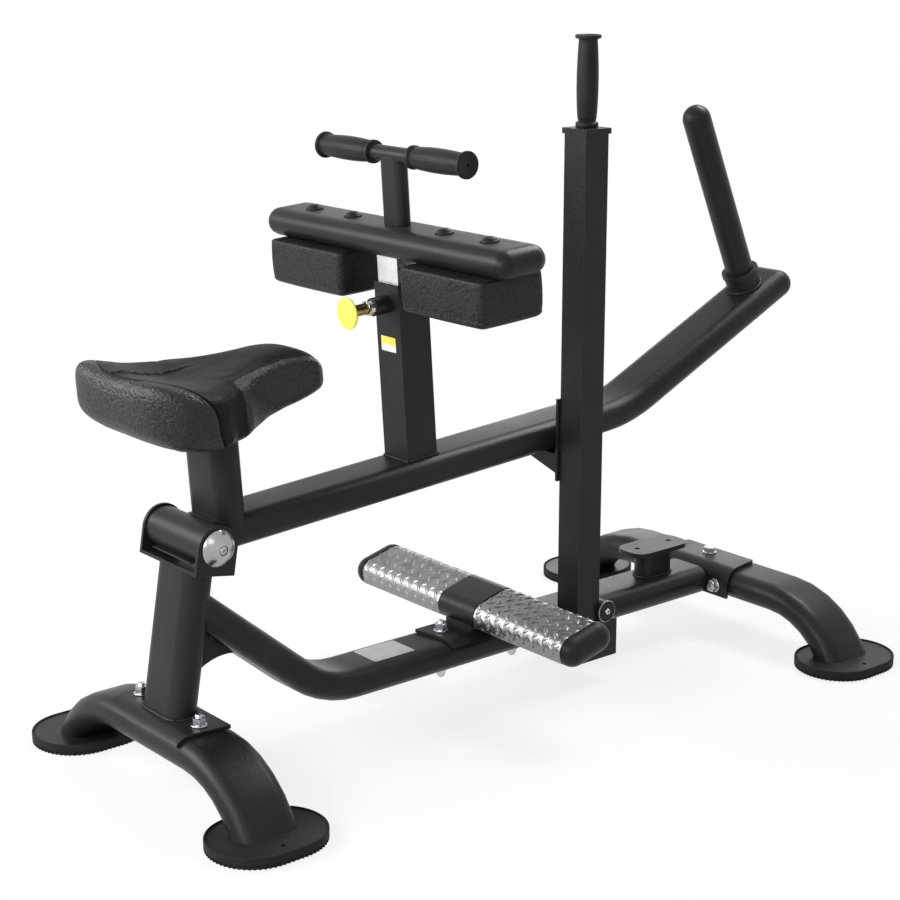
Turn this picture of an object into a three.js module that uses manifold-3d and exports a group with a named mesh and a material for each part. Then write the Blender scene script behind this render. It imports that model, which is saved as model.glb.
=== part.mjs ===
// A plate-loaded seated calf raise machine, in millimetres.
// X runs from the seat towards the weight horn, Y across the machine and Z up from the floor.
// The pivot of the lever stands above x = 0 until the last lines centre the machine on its box.

import * as THREE from "three";
import { mergeVertices } from "three/addons/utils/BufferGeometryUtils.js";
import Module from "manifold-3d";

// Gaps and facet counts
const seatGap = 0.3;
const cutOverrun = 4;
const quarterSteps = 4;
const turnSides = 24;
const smallSides = 10;
const boreSteps = 3;
const nutSides = 6;
const gripSides = 16;
const bendSteps = 5;
const footSteps = 7;
const domeSteps = 4;
const capDomeSteps = 6;
const padCornerSteps = 3;
const degree = Math.PI / 180;

// Flat oval frame tube
const tubeWidth = 104;
const tubeDepth = 50;
const tubeWall = 3;

// Heights and places of the main pieces
const baseTubeHeight = 93;
const pivotHeight = 388;
const postLean = 9.8 * degree;
const leverTilt = 3.7 * degree;
const slopeAngle = 40 * degree;
const slopeTopDrop = 95;
const rearStabiliserX = 1135;

// Stabilisers and feet
const stabiliserBendRadius = 160;
const stabiliserLegAngle = 57 * degree;
const frontStraightLength = 210;
const rearStraightLength = 364;
const footLength = 178;
const footWidth = 140;
const footOffset = 9;
const footPlateThickness = 7;
const shoeFloorThickness = 9;
const shoeRim = 4;
const shoeLip = 2;
const drainRadius = 9;
const footScrewRadius = 4;
const footScrewX = -5;
const footScrewY = 49;
const saddleThickness = 6;
const saddleDrop = 8;
const frontSaddleReach = 38;
const frontSaddleMargin = 23.5;
const frontSaddleTaper = -6 * degree;
const rearSaddleReach = 30;
const rearSaddleLegReach = 21;
const rearSaddleMargin = 18;
const rearSaddleTaper = 11 * degree;

// Fasteners
const boltRadius = 6;
const boltTailRadius = 10;
const longTail = 26;
const shortTail = 12;
const boltTipRadius = 4;
const nutAcrossCorners = 21;
const nutHeight = 9;
const studLength = 7;
const shortStudLength = 1;
const washerRadius = 12.5;
const washerThickness = 2;
const boltHoleGap = 0.4;
const frontBoltClearance = 16;
const rearBoltClearance = 4.5;
const rearFaceBoltDrop = 2;

// Pivot
const pivotTubeRadius = 31;
const pivotTubeWall = 5;
const pivotSideClearance = 0.4;
const bracketPlate = 5;
const bracketOuterWidth = 155;
const bracketDepth = 68;
const bracketBelowTube = 6;
const axleRadius = 12.5;
const runningGap = 0.05;
const bearingLength = 16;
const bearingFlange = 1.6;
const pivotCapRadius = 28;
const pivotCapHeight = 15;
const capScrewRadius = 6;
const capScrewDepth = 2;

// Lever arm
const leverBendX = 878;
const leverRise = 21.2 * degree;
const leverBendRadius = 260;
const leverRearLength = 450;
const barEndFlat = 1;

// Seat
const seatPostX = 53;
const seatPostHeight = 118;
const seatPostSink = 18;
const seatPanLength = 124;
const seatPanWidth = 116;
const seatPanThickness = 5;
const seatPanCorner = 29;
const seatPanX = 36;
const seatLength = 358;
const seatRearX = -110;
const seatWidth = 296;
const seatHeight = 122;

// Thigh post and its pull pin
const thighPostX = 423.5;
const slideGap = 0.5;
const thighPostWall = 4.5;
const thighPostTop = 312;
const thighPostSink = 6;
const innerPostSize = 50;
const innerPostWall = 3;
const innerPostShow = 42;
const innerPostSink = 212;
const pinHoleRadius = 5.6;
const pinHolePitch = 25;
const pinHoleCount = 6;
const pinRadius = 5;
const pinDrop = 33;
const pinHousingRadius = 14.5;
const pinHousingLength = 30;
const pinHousingBore = 8;
const pinCollarRadius = 7.6;
const pinCollarLength = 4;
const pinStemRadius = 9;
const pinStemLength = 39;
const knobRadius = 25.5;
const knobThickness = 11;
const knobHub = 10;
// The knob's outline as shares of its radius and thickness, and where its hub starts.
const knobShares = [[0.7, 0.12], [0.95, 0.3], [1, 0.5], [0.9, 0.68]];
const knobHubShare = 0.85;

// Thigh bar, pads and handlebar
const thighBarWidth = 96;
const thighBarDepth = 46;
const thighBarLength = 600;
const thighBarWall = 3;
const thighBarOpening = 25;
const padWidth = 126;
const padLength = 193;
const padInnerY = 74;
const padThickness = 75;
const padCorner = 12;
const padCrown = 4;
const padCornerShare = 1 / 3;
const padBodyShares = [0.3, 0.5, 0.7];
const padBoltSpacing = 104;
const padBoltInnerY = 114.3;
const padBoltRadius = 4;
const padCapRadius = 15;
const padCapHeight = 8;
const stemWidth = 52;
const stemDepth = 25;
const stemWall = 2.5;
const handlebarRise = 108.5;
const handlebarRadius = 12.5;
const handlebarWall = 2.5;
const handlebarLength = 356;
const gripGap = 20;
const gripRadius = 16;
const gripBelly = 18.5;
const gripFlange = 21;
const gripFlangeLength = 6;
const gripRing = 18.5;
const gripRingLength = 9;
const gripEndWall = 4;

// Weight horn
const hornFromEnd = 79;
const hornLean = 0.7 * degree;
const hornRadius = 25;
const hornWall = 4;
const hornLength = 365;
const hornPlugDepth = 8;
const collarRadius = 31;
const collarHeight = 34;
const collarLipRadius = 33.5;
const collarLipHeight = 9;

// Step
const stepX = 562;
const stepRise = 32.7;
const stepTilt = 14.4 * degree;
const stepWidth = 100;
const stepDepth = 50;
const stepLength = 570;
const stepCapBand = 3;
const treadThickness = 2;
const treadInnerY = 45;
const treadSkirt = 12;
const stepWall = 6;
const stepSaddleMargin = 23;
const stepSaddleReach = 34;
const stepSaddleTaper = -9 * degree;
const stepBoltSpacing = 158;
const stepRiserLength = 84;
const stepRiserWidth = 64;

// Stop post
const stopFromRear = 152;
const stopPostWidth = 76;
const stopPostDepth = 40;
const stopPlateLength = 132;
const stopPlateWidth = 68;
const stopPlateThickness = 8;
const stopPlateCorner = 24;
const stopPlateRise = 54;
const stopHoleRadius = 5;
const stopHoleSpacing = 79;

// Safety catch
const catchBehindStep = 155;
const catchSideGap = 8;
const catchSize = 50;
const catchWall = 3;
const catchTop = 940;
const catchCapOverhang = 3;
const catchCapThickness = 9;
const catchPivotRise = 35;
const catchSleeveRadius = 17;
const catchSleeveBite = 5;
const catchBoltRadius = 6;
const catchEarThickness = 5.5;
const catchBracketAhead = 13;
const catchBracketLength = 100;
const catchBracketDrop = 48;
const catchBracketWall = 5;
const catchBracketReach = 96;
const catchWasherRadius = 19;
const catchWasherThickness = 2;
const catchBoltHead = 5.5;
const catchBoltHeadHeight = 4;
const catchGripLength = 146;
const shelfTilt = 8.6 * degree;
const shelfReach = 84;
const shelfDepth = 49;
const shelfThickness = 8;
const shelfWeb = 6;
const shelfWebDrop = 42;
const shelfTipDrop = 14;
const strikePlateThickness = 6;
const strikePlateOverhang = 5;
const strikePlateRise = 90;
const strikePlateDrop = 52;

// Gusset
const gussetThickness = 8;
const gussetHeightShare = 0.223;
const gussetReachShare = 0.357;

// Finishes
const finishes = {
  blackCoat: { color: 0x1d1d1e, roughness: 0.45, metalness: 0.2 },
  blackRubber: { color: 0x161617, roughness: 0.8, metalness: 0 },
  blackPlastic: { color: 0x1a1a1b, roughness: 0.55, metalness: 0 },
  leather: { color: 0x202022, roughness: 0.6, metalness: 0 },
  chrome: { color: 0xd8dadc, roughness: 0.15, metalness: 1 },
  zinc: { color: 0xb9bcc0, roughness: 0.35, metalness: 1 },
  treadPlate: { color: 0xb4b6b9, roughness: 0.3, metalness: 1 },
  brass: { color: 0xb08b3a, roughness: 0.35, metalness: 1 },
  yellow: { color: 0xf6e54a, roughness: 0.4, metalness: 0 },
};

const wasm = await Module();
wasm.setup();

// Turns a closed geometry into a solid, with its faces pointing out.
function toSolid(geometry) {
  const bare = new THREE.BufferGeometry();
  bare.setAttribute("position", geometry.getAttribute("position").clone());
  bare.setIndex(geometry.index);
  const merged = mergeVertices(bare);
  const places = merged.getAttribute("position");
  const order = merged.index ? Array.from(merged.index.array) : upTo(places.count - 1);
  const triangles = [];
  const corners = [new THREE.Vector3(), new THREE.Vector3(), new THREE.Vector3()];
  let volume = 0;
  for (let start = 0; start < order.length; start += 3) {
    const [a, b, c] = order.slice(start, start + 3);
    if (a === b || b === c || c === a) {
      continue;
    }
    triangles.push([a, b, c]);
    corners.forEach((corner, index) => corner.fromBufferAttribute(places, [a, b, c][index]));
    volume += corners[0].dot(corners[1].cross(corners[2]));
  }
  const outward = volume < 0 ? triangles.map(([a, b, c]) => [a, c, b]) : triangles;
  return new wasm.Manifold(new wasm.Mesh({
    numProp: 3,
    vertProperties: new Float32Array(places.array),
    triVerts: new Uint32Array(outward.flat()),
  }));
}

function toGeometry(solid) {
  const mesh = solid.getMesh();
  const geometry = new THREE.BufferGeometry();
  geometry.setAttribute("position", new THREE.BufferAttribute(mesh.vertProperties, 3));
  geometry.setIndex(new THREE.BufferAttribute(mesh.triVerts, 1));
  geometry.computeVertexNormals();
  return geometry;
}

function join(...shapes) {
  return toGeometry(shapes.map(toSolid).reduce((whole, next) => whole.add(next)));
}

function cut(body, ...cutters) {
  return toGeometry(cutters.map(toSolid).reduce((whole, next) => whole.subtract(next), toSolid(body)));
}

function common(body, other) {
  return toGeometry(toSolid(body).intersect(toSolid(other)));
}

// The whole numbers from nought to a last one.
function upTo(last) {
  return Array.from({ length: last + 1 }, (_, index) => index);
}

// Outlines
function ovalOutline(width, depth, steps = quarterSteps) {
  const radius = depth / 2;
  const centre = width / 2 - radius;
  const outline = [];
  for (const side of [1, -1]) {
    for (let step = 0; step <= 2 * steps; step += 1) {
      const angle = (step / steps - 1) * Math.PI / 2;
      outline.push(new THREE.Vector2(
        side * (centre + radius * Math.cos(angle)),
        side * radius * Math.sin(angle),
      ));
    }
  }
  return outline;
}

function roundedOutline(width, depth, radius) {
  const outline = [];
  for (let quarter = 0; quarter < 4; quarter += 1) {
    const sideX = quarter === 0 || quarter === 3 ? 1 : -1;
    const sideY = quarter < 2 ? 1 : -1;
    for (let step = 0; step <= quarterSteps; step += 1) {
      const angle = (quarter + step / quarterSteps) * Math.PI / 2;
      outline.push(new THREE.Vector2(
        sideX * (width / 2 - radius) + radius * Math.cos(angle),
        sideY * (depth / 2 - radius) + radius * Math.sin(angle),
      ));
    }
  }
  return outline;
}

function rectangleOutline(width, depth) {
  return [[1, 1], [-1, 1], [-1, -1], [1, -1]]
    .map(([x, y]) => new THREE.Vector2(x * width / 2, y * depth / 2));
}

// Straight pieces: an outline, with or without a bore, carried along one axis.
function alongZ(outline, low, high, bore) {
  const shape = new THREE.Shape(outline);
  if (bore) {
    shape.holes.push(new THREE.Path(bore));
  }
  return new THREE.ExtrudeGeometry(shape, { depth: high - low, bevelEnabled: false })
    .translate(0, 0, low);
}

function alongY(outline, low, high, bore) {
  return alongZ(outline, 0, high - low, bore).rotateX(Math.PI / 2).translate(0, high, 0);
}

function alongX(outline, low, high, bore) {
  return alongZ(outline, 0, high - low, bore).rotateX(Math.PI / 2).rotateZ(Math.PI / 2)
    .translate(low, 0, 0);
}

function box(lowX, highX, lowY, highY, lowZ, highZ) {
  return new THREE.BoxGeometry(highX - lowX, highY - lowY, highZ - lowZ)
    .translate((lowX + highX) / 2, (lowY + highY) / 2, (lowZ + highZ) / 2);
}

// Turned pieces: a profile of [radius, height] pairs that starts and ends on the axis.
function turnedY(profile, sides = turnSides) {
  return new THREE.LatheGeometry(profile.map(([radius, height]) => new THREE.Vector2(radius, height)), sides);
}

function turnedZ(profile, sides = turnSides) {
  return turnedY(profile, sides).rotateX(Math.PI / 2);
}

function turnedX(profile, sides = turnSides) {
  return turnedY(profile, sides).rotateZ(-Math.PI / 2);
}

function rodProfile(radius, low, high) {
  return [[0, low], [radius, low], [radius, high], [0, high]];
}

// A round bore of this radius just clears a shaft of the same number of sides.
function runningBore(shaftRadius) {
  return (shaftRadius + runningGap) / Math.cos(Math.PI / turnSides);
}

// A closed skin over a row of rings that all have the same number of points.
function loft(rings) {
  const count = rings[0].length;
  const places = rings.flat().flatMap((point) => [point.x, point.y, point.z]);
  const triangles = [];
  for (let ring = 0; ring + 1 < rings.length; ring += 1) {
    for (let step = 0; step < count; step += 1) {
      const here = ring * count + step;
      const next = ring * count + (step + 1) % count;
      triangles.push(here, next, next + count, here, next + count, here + count);
    }
  }
  const last = (rings.length - 1) * count;
  for (let step = 1; step + 1 < count; step += 1) {
    triangles.push(0, step + 1, step, last, last + step, last + step + 1);
  }
  const geometry = new THREE.BufferGeometry();
  geometry.setAttribute("position", new THREE.Float32BufferAttribute(places, 3));
  geometry.setIndex(triangles);
  return geometry;
}

// Stations along a bent path in one plane: straight runs with an arc at each inner corner.
function bentPath(points, radius) {
  const stations = [];
  const heading = (from, to) => Math.atan2(to[1] - from[1], to[0] - from[0]);
  const first = heading(points[0], points[1]);
  stations.push({ a: points[0][0], b: points[0][1], angle: first });
  for (let corner = 1; corner + 1 < points.length; corner += 1) {
    const into = heading(points[corner - 1], points[corner]);
    const out = heading(points[corner], points[corner + 1]);
    const turn = out - into;
    const reach = radius * Math.tan(Math.abs(turn) / 2);
    const side = Math.sign(turn);
    const startA = points[corner][0] - reach * Math.cos(into);
    const startB = points[corner][1] - reach * Math.sin(into);
    const centreA = startA - side * radius * Math.sin(into);
    const centreB = startB + side * radius * Math.cos(into);
    for (let step = 0; step <= bendSteps; step += 1) {
      const angle = into + turn * step / bendSteps;
      stations.push({
        a: centreA + side * radius * Math.sin(angle),
        b: centreB - side * radius * Math.cos(angle),
        angle,
      });
    }
  }
  const end = points[points.length - 1];
  stations.push({ a: end[0], b: end[1], angle: heading(points[points.length - 2], end) });
  return stations;
}

// Carries an outline along stations. The outline's x lies across the plane of the path.
function bentTube(outline, stations, toSpace) {
  return loft(stations.map(({ a, b, angle }) => outline.map((point) => toSpace(
    point.x,
    a - point.y * Math.sin(angle),
    b + point.y * Math.cos(angle),
  ))));
}

const inLengthPlane = (across, a, b) => new THREE.Vector3(a, across, b);
const inWidthPlane = (across, a, b) => new THREE.Vector3(across, a, b);

function movedStations(stations, startBy, endBy) {
  const first = stations[0];
  const last = stations[stations.length - 1];
  return [
    { ...first, a: first.a - startBy * Math.cos(first.angle), b: first.b - startBy * Math.sin(first.angle) },
    ...stations.slice(1, -1),
    { ...last, a: last.a + endBy * Math.cos(last.angle), b: last.b + endBy * Math.sin(last.angle) },
  ];
}

// Rings of an oval bar's rounded end, from the full section to the tip.
function roundedEndRings(width, depth, radius, toPlace) {
  const rings = [];
  for (const step of upTo(domeSteps)) {
    const angle = step / domeSteps * Math.PI / 2;
    const inset = radius * (1 - Math.cos(angle));
    rings.push(ovalOutline(width - 2 * inset, depth - 2 * inset)
      .map((point) => toPlace(point, radius * Math.sin(angle))));
  }
  return rings;
}

// A through bolt along Z: a nutted tail below, and a washer, a hexagon and the end of the stud above.
function throughBolt(low, high, studRise, tail) {
  const nutLow = high + washerThickness;
  return join(
    turnedZ([
      [0, low - tail], [boltTipRadius, low - tail],
      [boltTailRadius, low - tail / 2], [boltTailRadius, low - washerThickness],
      [washerRadius, low - washerThickness], [washerRadius, low],
      [boltRadius, low], [boltRadius, high],
      [washerRadius, high], [washerRadius, nutLow], [0, nutLow],
    ], smallSides),
    turnedZ(rodProfile(nutAcrossCorners / 2, nutLow, nutLow + nutHeight), nutSides),
    turnedZ(rodProfile(boltRadius, nutLow, nutLow + nutHeight + studRise), smallSides),
  );
}

const machine = new THREE.Group();

function addPiece(parent, name, geometry, finish) {
  const material = new THREE.MeshStandardMaterial(finishes[finish]);
  const mesh = new THREE.Mesh(geometry, material);
  mesh.name = name;
  parent.add(mesh);
}

const sides = [["near", -1], ["far", 1]];
const ovalTube = ovalOutline(tubeWidth, tubeDepth);
const ovalBore = ovalOutline(tubeWidth - 2 * tubeWall, tubeDepth - 2 * tubeWall, boreSteps);
const ovalTubeGrown = ovalOutline(tubeWidth + 2 * seatGap, tubeDepth + 2 * seatGap);
const tubeTop = baseTubeHeight + tubeDepth / 2;
const tubeBottom = baseTubeHeight - tubeDepth / 2;
const saddleTop = tubeTop + seatGap + saddleThickness;
const frontStabiliserX = -(pivotHeight - saddleTop) * Math.tan(postLean);
const frontBoltSpacing = tubeWidth + 2 * (washerRadius + frontBoltClearance);
const frontSaddleLength = frontBoltSpacing + 2 * frontSaddleMargin;
const rearFaceBoltSpacing = tubeWidth + 2 * (washerRadius + rearBoltClearance);
const rearFaceBoltHeight = baseTubeHeight - rearFaceBoltDrop;
const rearSaddleLength = rearFaceBoltSpacing + 2 * rearSaddleMargin;
const footPlateBottom = shoeFloorThickness + seatGap;
const footPlateTop = footPlateBottom + footPlateThickness;

// Stabilisers: a bent oval tube with a steel foot plate welded under each leg.
function legEndY(straightLength) {
  const drop = baseTubeHeight - footPlateTop;
  const angle = Math.acos(1 - drop / stabiliserBendRadius);
  return straightLength / 2 + stabiliserBendRadius * Math.sin(angle);
}

function stabiliser(x, straightLength, boltHoles) {
  const reach = stabiliserBendRadius * Math.tan(stabiliserLegAngle / 2);
  const cornerY = straightLength / 2 + reach;
  const footY = cornerY + (baseTubeHeight / Math.tan(stabiliserLegAngle));
  const stations = bentPath([
    [-footY, 0], [-cornerY, baseTubeHeight], [cornerY, baseTubeHeight], [footY, 0],
  ], stabiliserBendRadius);
  const long = movedStations(stations, tubeDepth, tubeDepth);
  const farY = footY + 2 * tubeDepth;
  const below = box(-tubeWidth, tubeWidth, -farY, farY, -tubeDepth * 2, footPlateTop - seatGap);
  const belowBore = box(-tubeWidth, tubeWidth, -farY, farY, -tubeDepth * 2, footPlateTop);
  const tube = cut(bentTube(ovalTube, long, inWidthPlane), below);
  const bore = cut(bentTube(ovalBore, long, inWidthPlane), belowBore);
  const legY = legEndY(straightLength);
  const plates = sides.map(([, side]) => cut(
    alongZ(ovalOutline(footLength, footWidth, footSteps), footPlateBottom, footPlateTop)
      .translate(0, side * (legY + footOffset), 0),
    turnedZ(rodProfile(drainRadius, footPlateBottom - cutOverrun, footPlateTop + cutOverrun))
      .translate(0, side * legY, 0),
    turnedZ(rodProfile(footScrewRadius, footPlateBottom - cutOverrun, footPlateTop + cutOverrun), smallSides)
      .translate(footScrewX, side * (legY + footOffset + footScrewY), 0),
  ));
  return cut(join(tube, ...plates), bore, ...boltHoles).translate(x, 0, 0);
}

function boltHoleZ(x, y, low, high) {
  return turnedZ(rodProfile(boltRadius + boltHoleGap, low - cutOverrun, high + cutOverrun), smallSides)
    .translate(x, y, 0);
}

function boltHoleX(y, z, low, high) {
  return turnedX(rodProfile(boltRadius + boltHoleGap, low - cutOverrun, high + cutOverrun), smallSides)
    .translate(0, y, z);
}

const frontBoltHoles = sides.map(([, side]) => (
  boltHoleZ(0, side * frontBoltSpacing / 2, tubeBottom, tubeTop)));
const rearBoltHoles = [
  boltHoleZ(0, 0, tubeBottom, tubeTop),
  ...sides.map(([, side]) => boltHoleX(
    side * rearFaceBoltSpacing / 2,
    rearFaceBoltHeight,
    -tubeWidth / 2,
    tubeWidth / 2,
  )),
];
addPiece(
  machine,
  "front_stabiliser",
  stabiliser(frontStabiliserX, frontStraightLength, frontBoltHoles),
  "blackCoat",
);
addPiece(
  machine,
  "rear_stabiliser",
  stabiliser(rearStabiliserX, rearStraightLength, rearBoltHoles),
  "blackCoat",
);

// Rubber shoes: a dish round each foot plate.
function rubberShoe() {
  const width = footLength + 2 * (seatGap + shoeRim);
  const depth = footWidth + 2 * (seatGap + shoeRim);
  return cut(
    alongZ(ovalOutline(width, depth, footSteps), 0, footPlateTop + shoeLip),
    alongZ(
      ovalOutline(footLength + 2 * seatGap, footWidth + 2 * seatGap, footSteps),
      shoeFloorThickness,
      footPlateTop + shoeLip + cutOverrun,
    ),
  );
}

for (const [end, x, straightLength] of [
  ["front", frontStabiliserX, frontStraightLength],
  ["rear", rearStabiliserX, rearStraightLength],
]) {
  for (const [name, side] of sides) {
    const y = side * (legEndY(straightLength) + footOffset);
    addPiece(machine, `rubber_shoe_${end}_${name}`, rubberShoe().translate(x, y, 0), "blackRubber");
  }
}

// Slanting cuts across both ends of a saddle: it is this long over the middle of its tube.
function taperCuts(length, taper) {
  return sides.map(([, side]) => box(-2 * tubeWidth, 2 * tubeWidth, 0, 2 * length, 0, 2 * saddleTop)
    .rotateZ(-taper).translate(0, length / 2, 0)
    .applyMatrix4(new THREE.Matrix4().makeScale(1, side, 1)));
}

// A saddle plate across a tube that runs along Y: flat on top and bent down over one side.
function wrappedSaddle(length, reach, taper) {
  const outer = ovalOutline(
    tubeWidth + 2 * (seatGap + saddleThickness),
    tubeDepth + 2 * (seatGap + saddleThickness),
  );
  const shell = cut(
    alongY(outer, -length, length),
    alongY(ovalTubeGrown, -length - cutOverrun, length + cutOverrun),
    box(-tubeWidth, tubeWidth, -2 * length, 2 * length, -tubeDepth, tubeDepth / 2 - saddleDrop),
    box(seatGap, tubeWidth, -2 * length, 2 * length, -tubeDepth, tubeDepth),
  ).translate(0, 0, baseTubeHeight);
  const flat = box(0, reach, -length, length, saddleTop - saddleThickness, saddleTop);
  return cut(join(flat, shell), ...taperCuts(length, taper));
}

// Front saddle: the base post stands on it.
function frontSaddle() {
  const holes = sides.map(([, side]) => boltHoleZ(0, side * frontBoltSpacing / 2, tubeTop, saddleTop));
  return cut(wrappedSaddle(frontSaddleLength, frontSaddleReach, frontSaddleTaper), ...holes)
    .translate(frontStabiliserX, 0, 0);
}
addPiece(machine, "front_saddle", frontSaddle(), "blackCoat");

for (const [name, side] of sides) {
  const bolt = throughBolt(tubeBottom - seatGap, saddleTop + seatGap, studLength, longTail)
    .translate(frontStabiliserX, side * frontBoltSpacing / 2, 0);
  addPiece(machine, `front_saddle_bolt_${name}`, bolt, "zinc");
}

// Rear saddle: a bent plate over the top and the front of the rear stabiliser.
function rearSaddle() {
  const innerRadius = tubeDepth / 2 + seatGap;
  const outerRadius = innerRadius + saddleThickness;
  const bendX = -tubeWidth / 2 + tubeDepth / 2;
  const outline = [];
  const arc = (radius) => upTo(2 * quarterSteps).map((step) => {
    const angle = Math.PI / 2 * (1 + step / (2 * quarterSteps));
    return new THREE.Vector2(bendX + radius * Math.cos(angle), radius * Math.sin(angle));
  });
  outline.push(new THREE.Vector2(rearSaddleReach, outerRadius), ...arc(outerRadius));
  outline.push(new THREE.Vector2(bendX - outerRadius, -rearSaddleLegReach));
  outline.push(new THREE.Vector2(bendX - innerRadius, -rearSaddleLegReach));
  outline.push(...arc(innerRadius).reverse(), new THREE.Vector2(rearSaddleReach, innerRadius));
  return cut(
    alongY(outline, -rearSaddleLength, rearSaddleLength).translate(0, 0, baseTubeHeight),
    ...taperCuts(rearSaddleLength, rearSaddleTaper),
    boltHoleZ(0, 0, tubeTop, saddleTop),
    ...sides.map(([, side]) => boltHoleX(side * rearFaceBoltSpacing / 2, rearFaceBoltHeight, -tubeWidth, 0)),
  ).translate(rearStabiliserX, 0, 0);
}
addPiece(machine, "rear_saddle", rearSaddle(), "blackCoat");

const rearSaddleFaceX = rearStabiliserX - tubeWidth / 2 - seatGap - saddleThickness;
addPiece(
  machine,
  "rear_saddle_bolt_top",
  throughBolt(tubeBottom - seatGap, saddleTop + seatGap, shortStudLength, shortTail)
    .translate(rearStabiliserX, 0, 0),
  "zinc",
);
for (const [name, side] of sides) {
  const reachOut = tubeWidth / 2 + seatGap;
  const bolt = throughBolt(-reachOut, reachOut + saddleThickness + seatGap, shortStudLength, shortTail)
    .rotateY(-Math.PI / 2)
    .translate(rearStabiliserX, side * rearFaceBoltSpacing / 2, rearFaceBoltHeight);
  addPiece(machine, `rear_saddle_bolt_${name}`, bolt, "zinc");
}

// Base post: the leaning tube from the front saddle up to the pivot bracket.
const bracketDrop = pivotTubeRadius + bracketPlate + bracketBelowTube;
function uprightOval(width, depth) {
  return ovalOutline(width, depth).map((point) => new THREE.Vector2(-point.y, point.x));
}

function leaningPost(outline, bore) {
  const low = -pivotHeight;
  const high = -bracketDrop - seatGap;
  const post = alongZ(outline, low, high, bore).rotateY(postLean).translate(0, 0, pivotHeight);
  return cut(post, box(-pivotHeight, pivotHeight, -tubeWidth, tubeWidth, -tubeWidth, saddleTop + seatGap));
}
addPiece(machine, "base_post", leaningPost(uprightOval(tubeWidth, tubeDepth),
  uprightOval(tubeWidth - 2 * tubeWall, tubeDepth - 2 * tubeWall)), "blackCoat");
const basePostGrown = alongZ(
  uprightOval(tubeWidth + 2 * seatGap, tubeDepth + 2 * seatGap),
  -pivotHeight,
  0,
).rotateY(postLean).translate(0, 0, pivotHeight);

// Base tube: it slopes down from the base post, bends and runs level to the rear saddle.
const slopeTopHeight = pivotHeight - slopeTopDrop;
const slopeTopX = -slopeTopDrop * Math.tan(postLean);
const slopeFootX = slopeTopX + (slopeTopHeight - baseTubeHeight) / Math.tan(slopeAngle);
const baseTubeStations = bentPath([
  [slopeTopX, slopeTopHeight], [slopeFootX, baseTubeHeight], [rearSaddleFaceX - seatGap, baseTubeHeight],
], stabiliserBendRadius);
const stepBoltHoles = [-1, 1].map((end) => (
  boltHoleZ(stepX + end * stepBoltSpacing / 2, 0, tubeBottom, tubeTop)));
addPiece(machine, "base_tube", cut(
  bentTube(ovalTube, baseTubeStations, inLengthPlane),
  bentTube(ovalBore, movedStations(baseTubeStations, 0, cutOverrun), inLengthPlane),
  basePostGrown,
  ...stepBoltHoles,
), "blackCoat");

// Gusset: the curved web between the base post and the sloping tube.
function postGusset() {
  const postX = (height) => -(pivotHeight - height) * Math.tan(postLean) + tubeDepth / 2 / Math.cos(postLean);
  const underside = (x) => baseTubeHeight + (slopeFootX - x) * Math.tan(slopeAngle)
    - tubeDepth / 2 / Math.cos(slopeAngle);
  const lowHeight = saddleTop + gussetHeightShare * (slopeTopHeight - saddleTop);
  const low = new THREE.Vector2(postX(lowHeight), lowHeight);
  const tipX = low.x + gussetReachShare * (slopeFootX - low.x);
  const tip = new THREE.Vector2(tipX, underside(tipX));
  const sag = new THREE.Vector2((low.x + tip.x) / 2, Math.max(low.y, tip.y) + gussetThickness);
  const edge = new THREE.QuadraticBezierCurve(low, sag, tip).getPoints(2 * quarterSteps);
  const outline = [...edge, new THREE.Vector2(slopeTopX, slopeTopHeight)];
  return cut(
    alongY(outline, -gussetThickness / 2, gussetThickness / 2),
    basePostGrown,
    bentTube(ovalTubeGrown, movedStations(baseTubeStations, tubeDepth, 0), inLengthPlane),
  );
}
addPiece(machine, "post_gusset", postGusset(), "blackCoat");

// Pivot bracket: a bent plate with two round-topped ears, on top of the base post.
const earInnerY = bracketOuterWidth / 2 - bracketPlate;
const pivotTubeLength = 2 * (earInnerY - bearingFlange - pivotSideClearance);
function pivotBracket() {
  const half = bracketOuterWidth / 2;
  const top = bracketDepth / 2 + cutOverrun;
  const channel = cut(
    box(-bracketDepth / 2, bracketDepth / 2, -half, half, -bracketDrop, top),
    box(-bracketDepth, bracketDepth, -earInnerY, earInnerY, -bracketDrop + bracketPlate, top + cutOverrun),
  );
  const ear = [
    ...upTo(4 * quarterSteps).map((step) => {
      const angle = Math.PI * step / (4 * quarterSteps);
      return new THREE.Vector2(bracketDepth / 2 * Math.cos(angle), bracketDepth / 2 * Math.sin(angle));
    }),
    new THREE.Vector2(-bracketDepth / 2, -bracketDrop),
    new THREE.Vector2(bracketDepth / 2, -bracketDrop),
  ];
  return cut(
    common(channel, alongY(ear, -half - cutOverrun, half + cutOverrun)),
    turnedY(rodProfile(axleRadius + seatGap, -half - cutOverrun, half + cutOverrun)),
  ).rotateY(postLean).translate(0, 0, pivotHeight);
}
addPiece(machine, "pivot_bracket", pivotBracket(), "blackCoat");

addPiece(machine, "pivot_axle", turnedY(
  rodProfile(axleRadius, -bracketOuterWidth / 2, bracketOuterWidth / 2),
).translate(0, 0, pivotHeight), "zinc");

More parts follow.
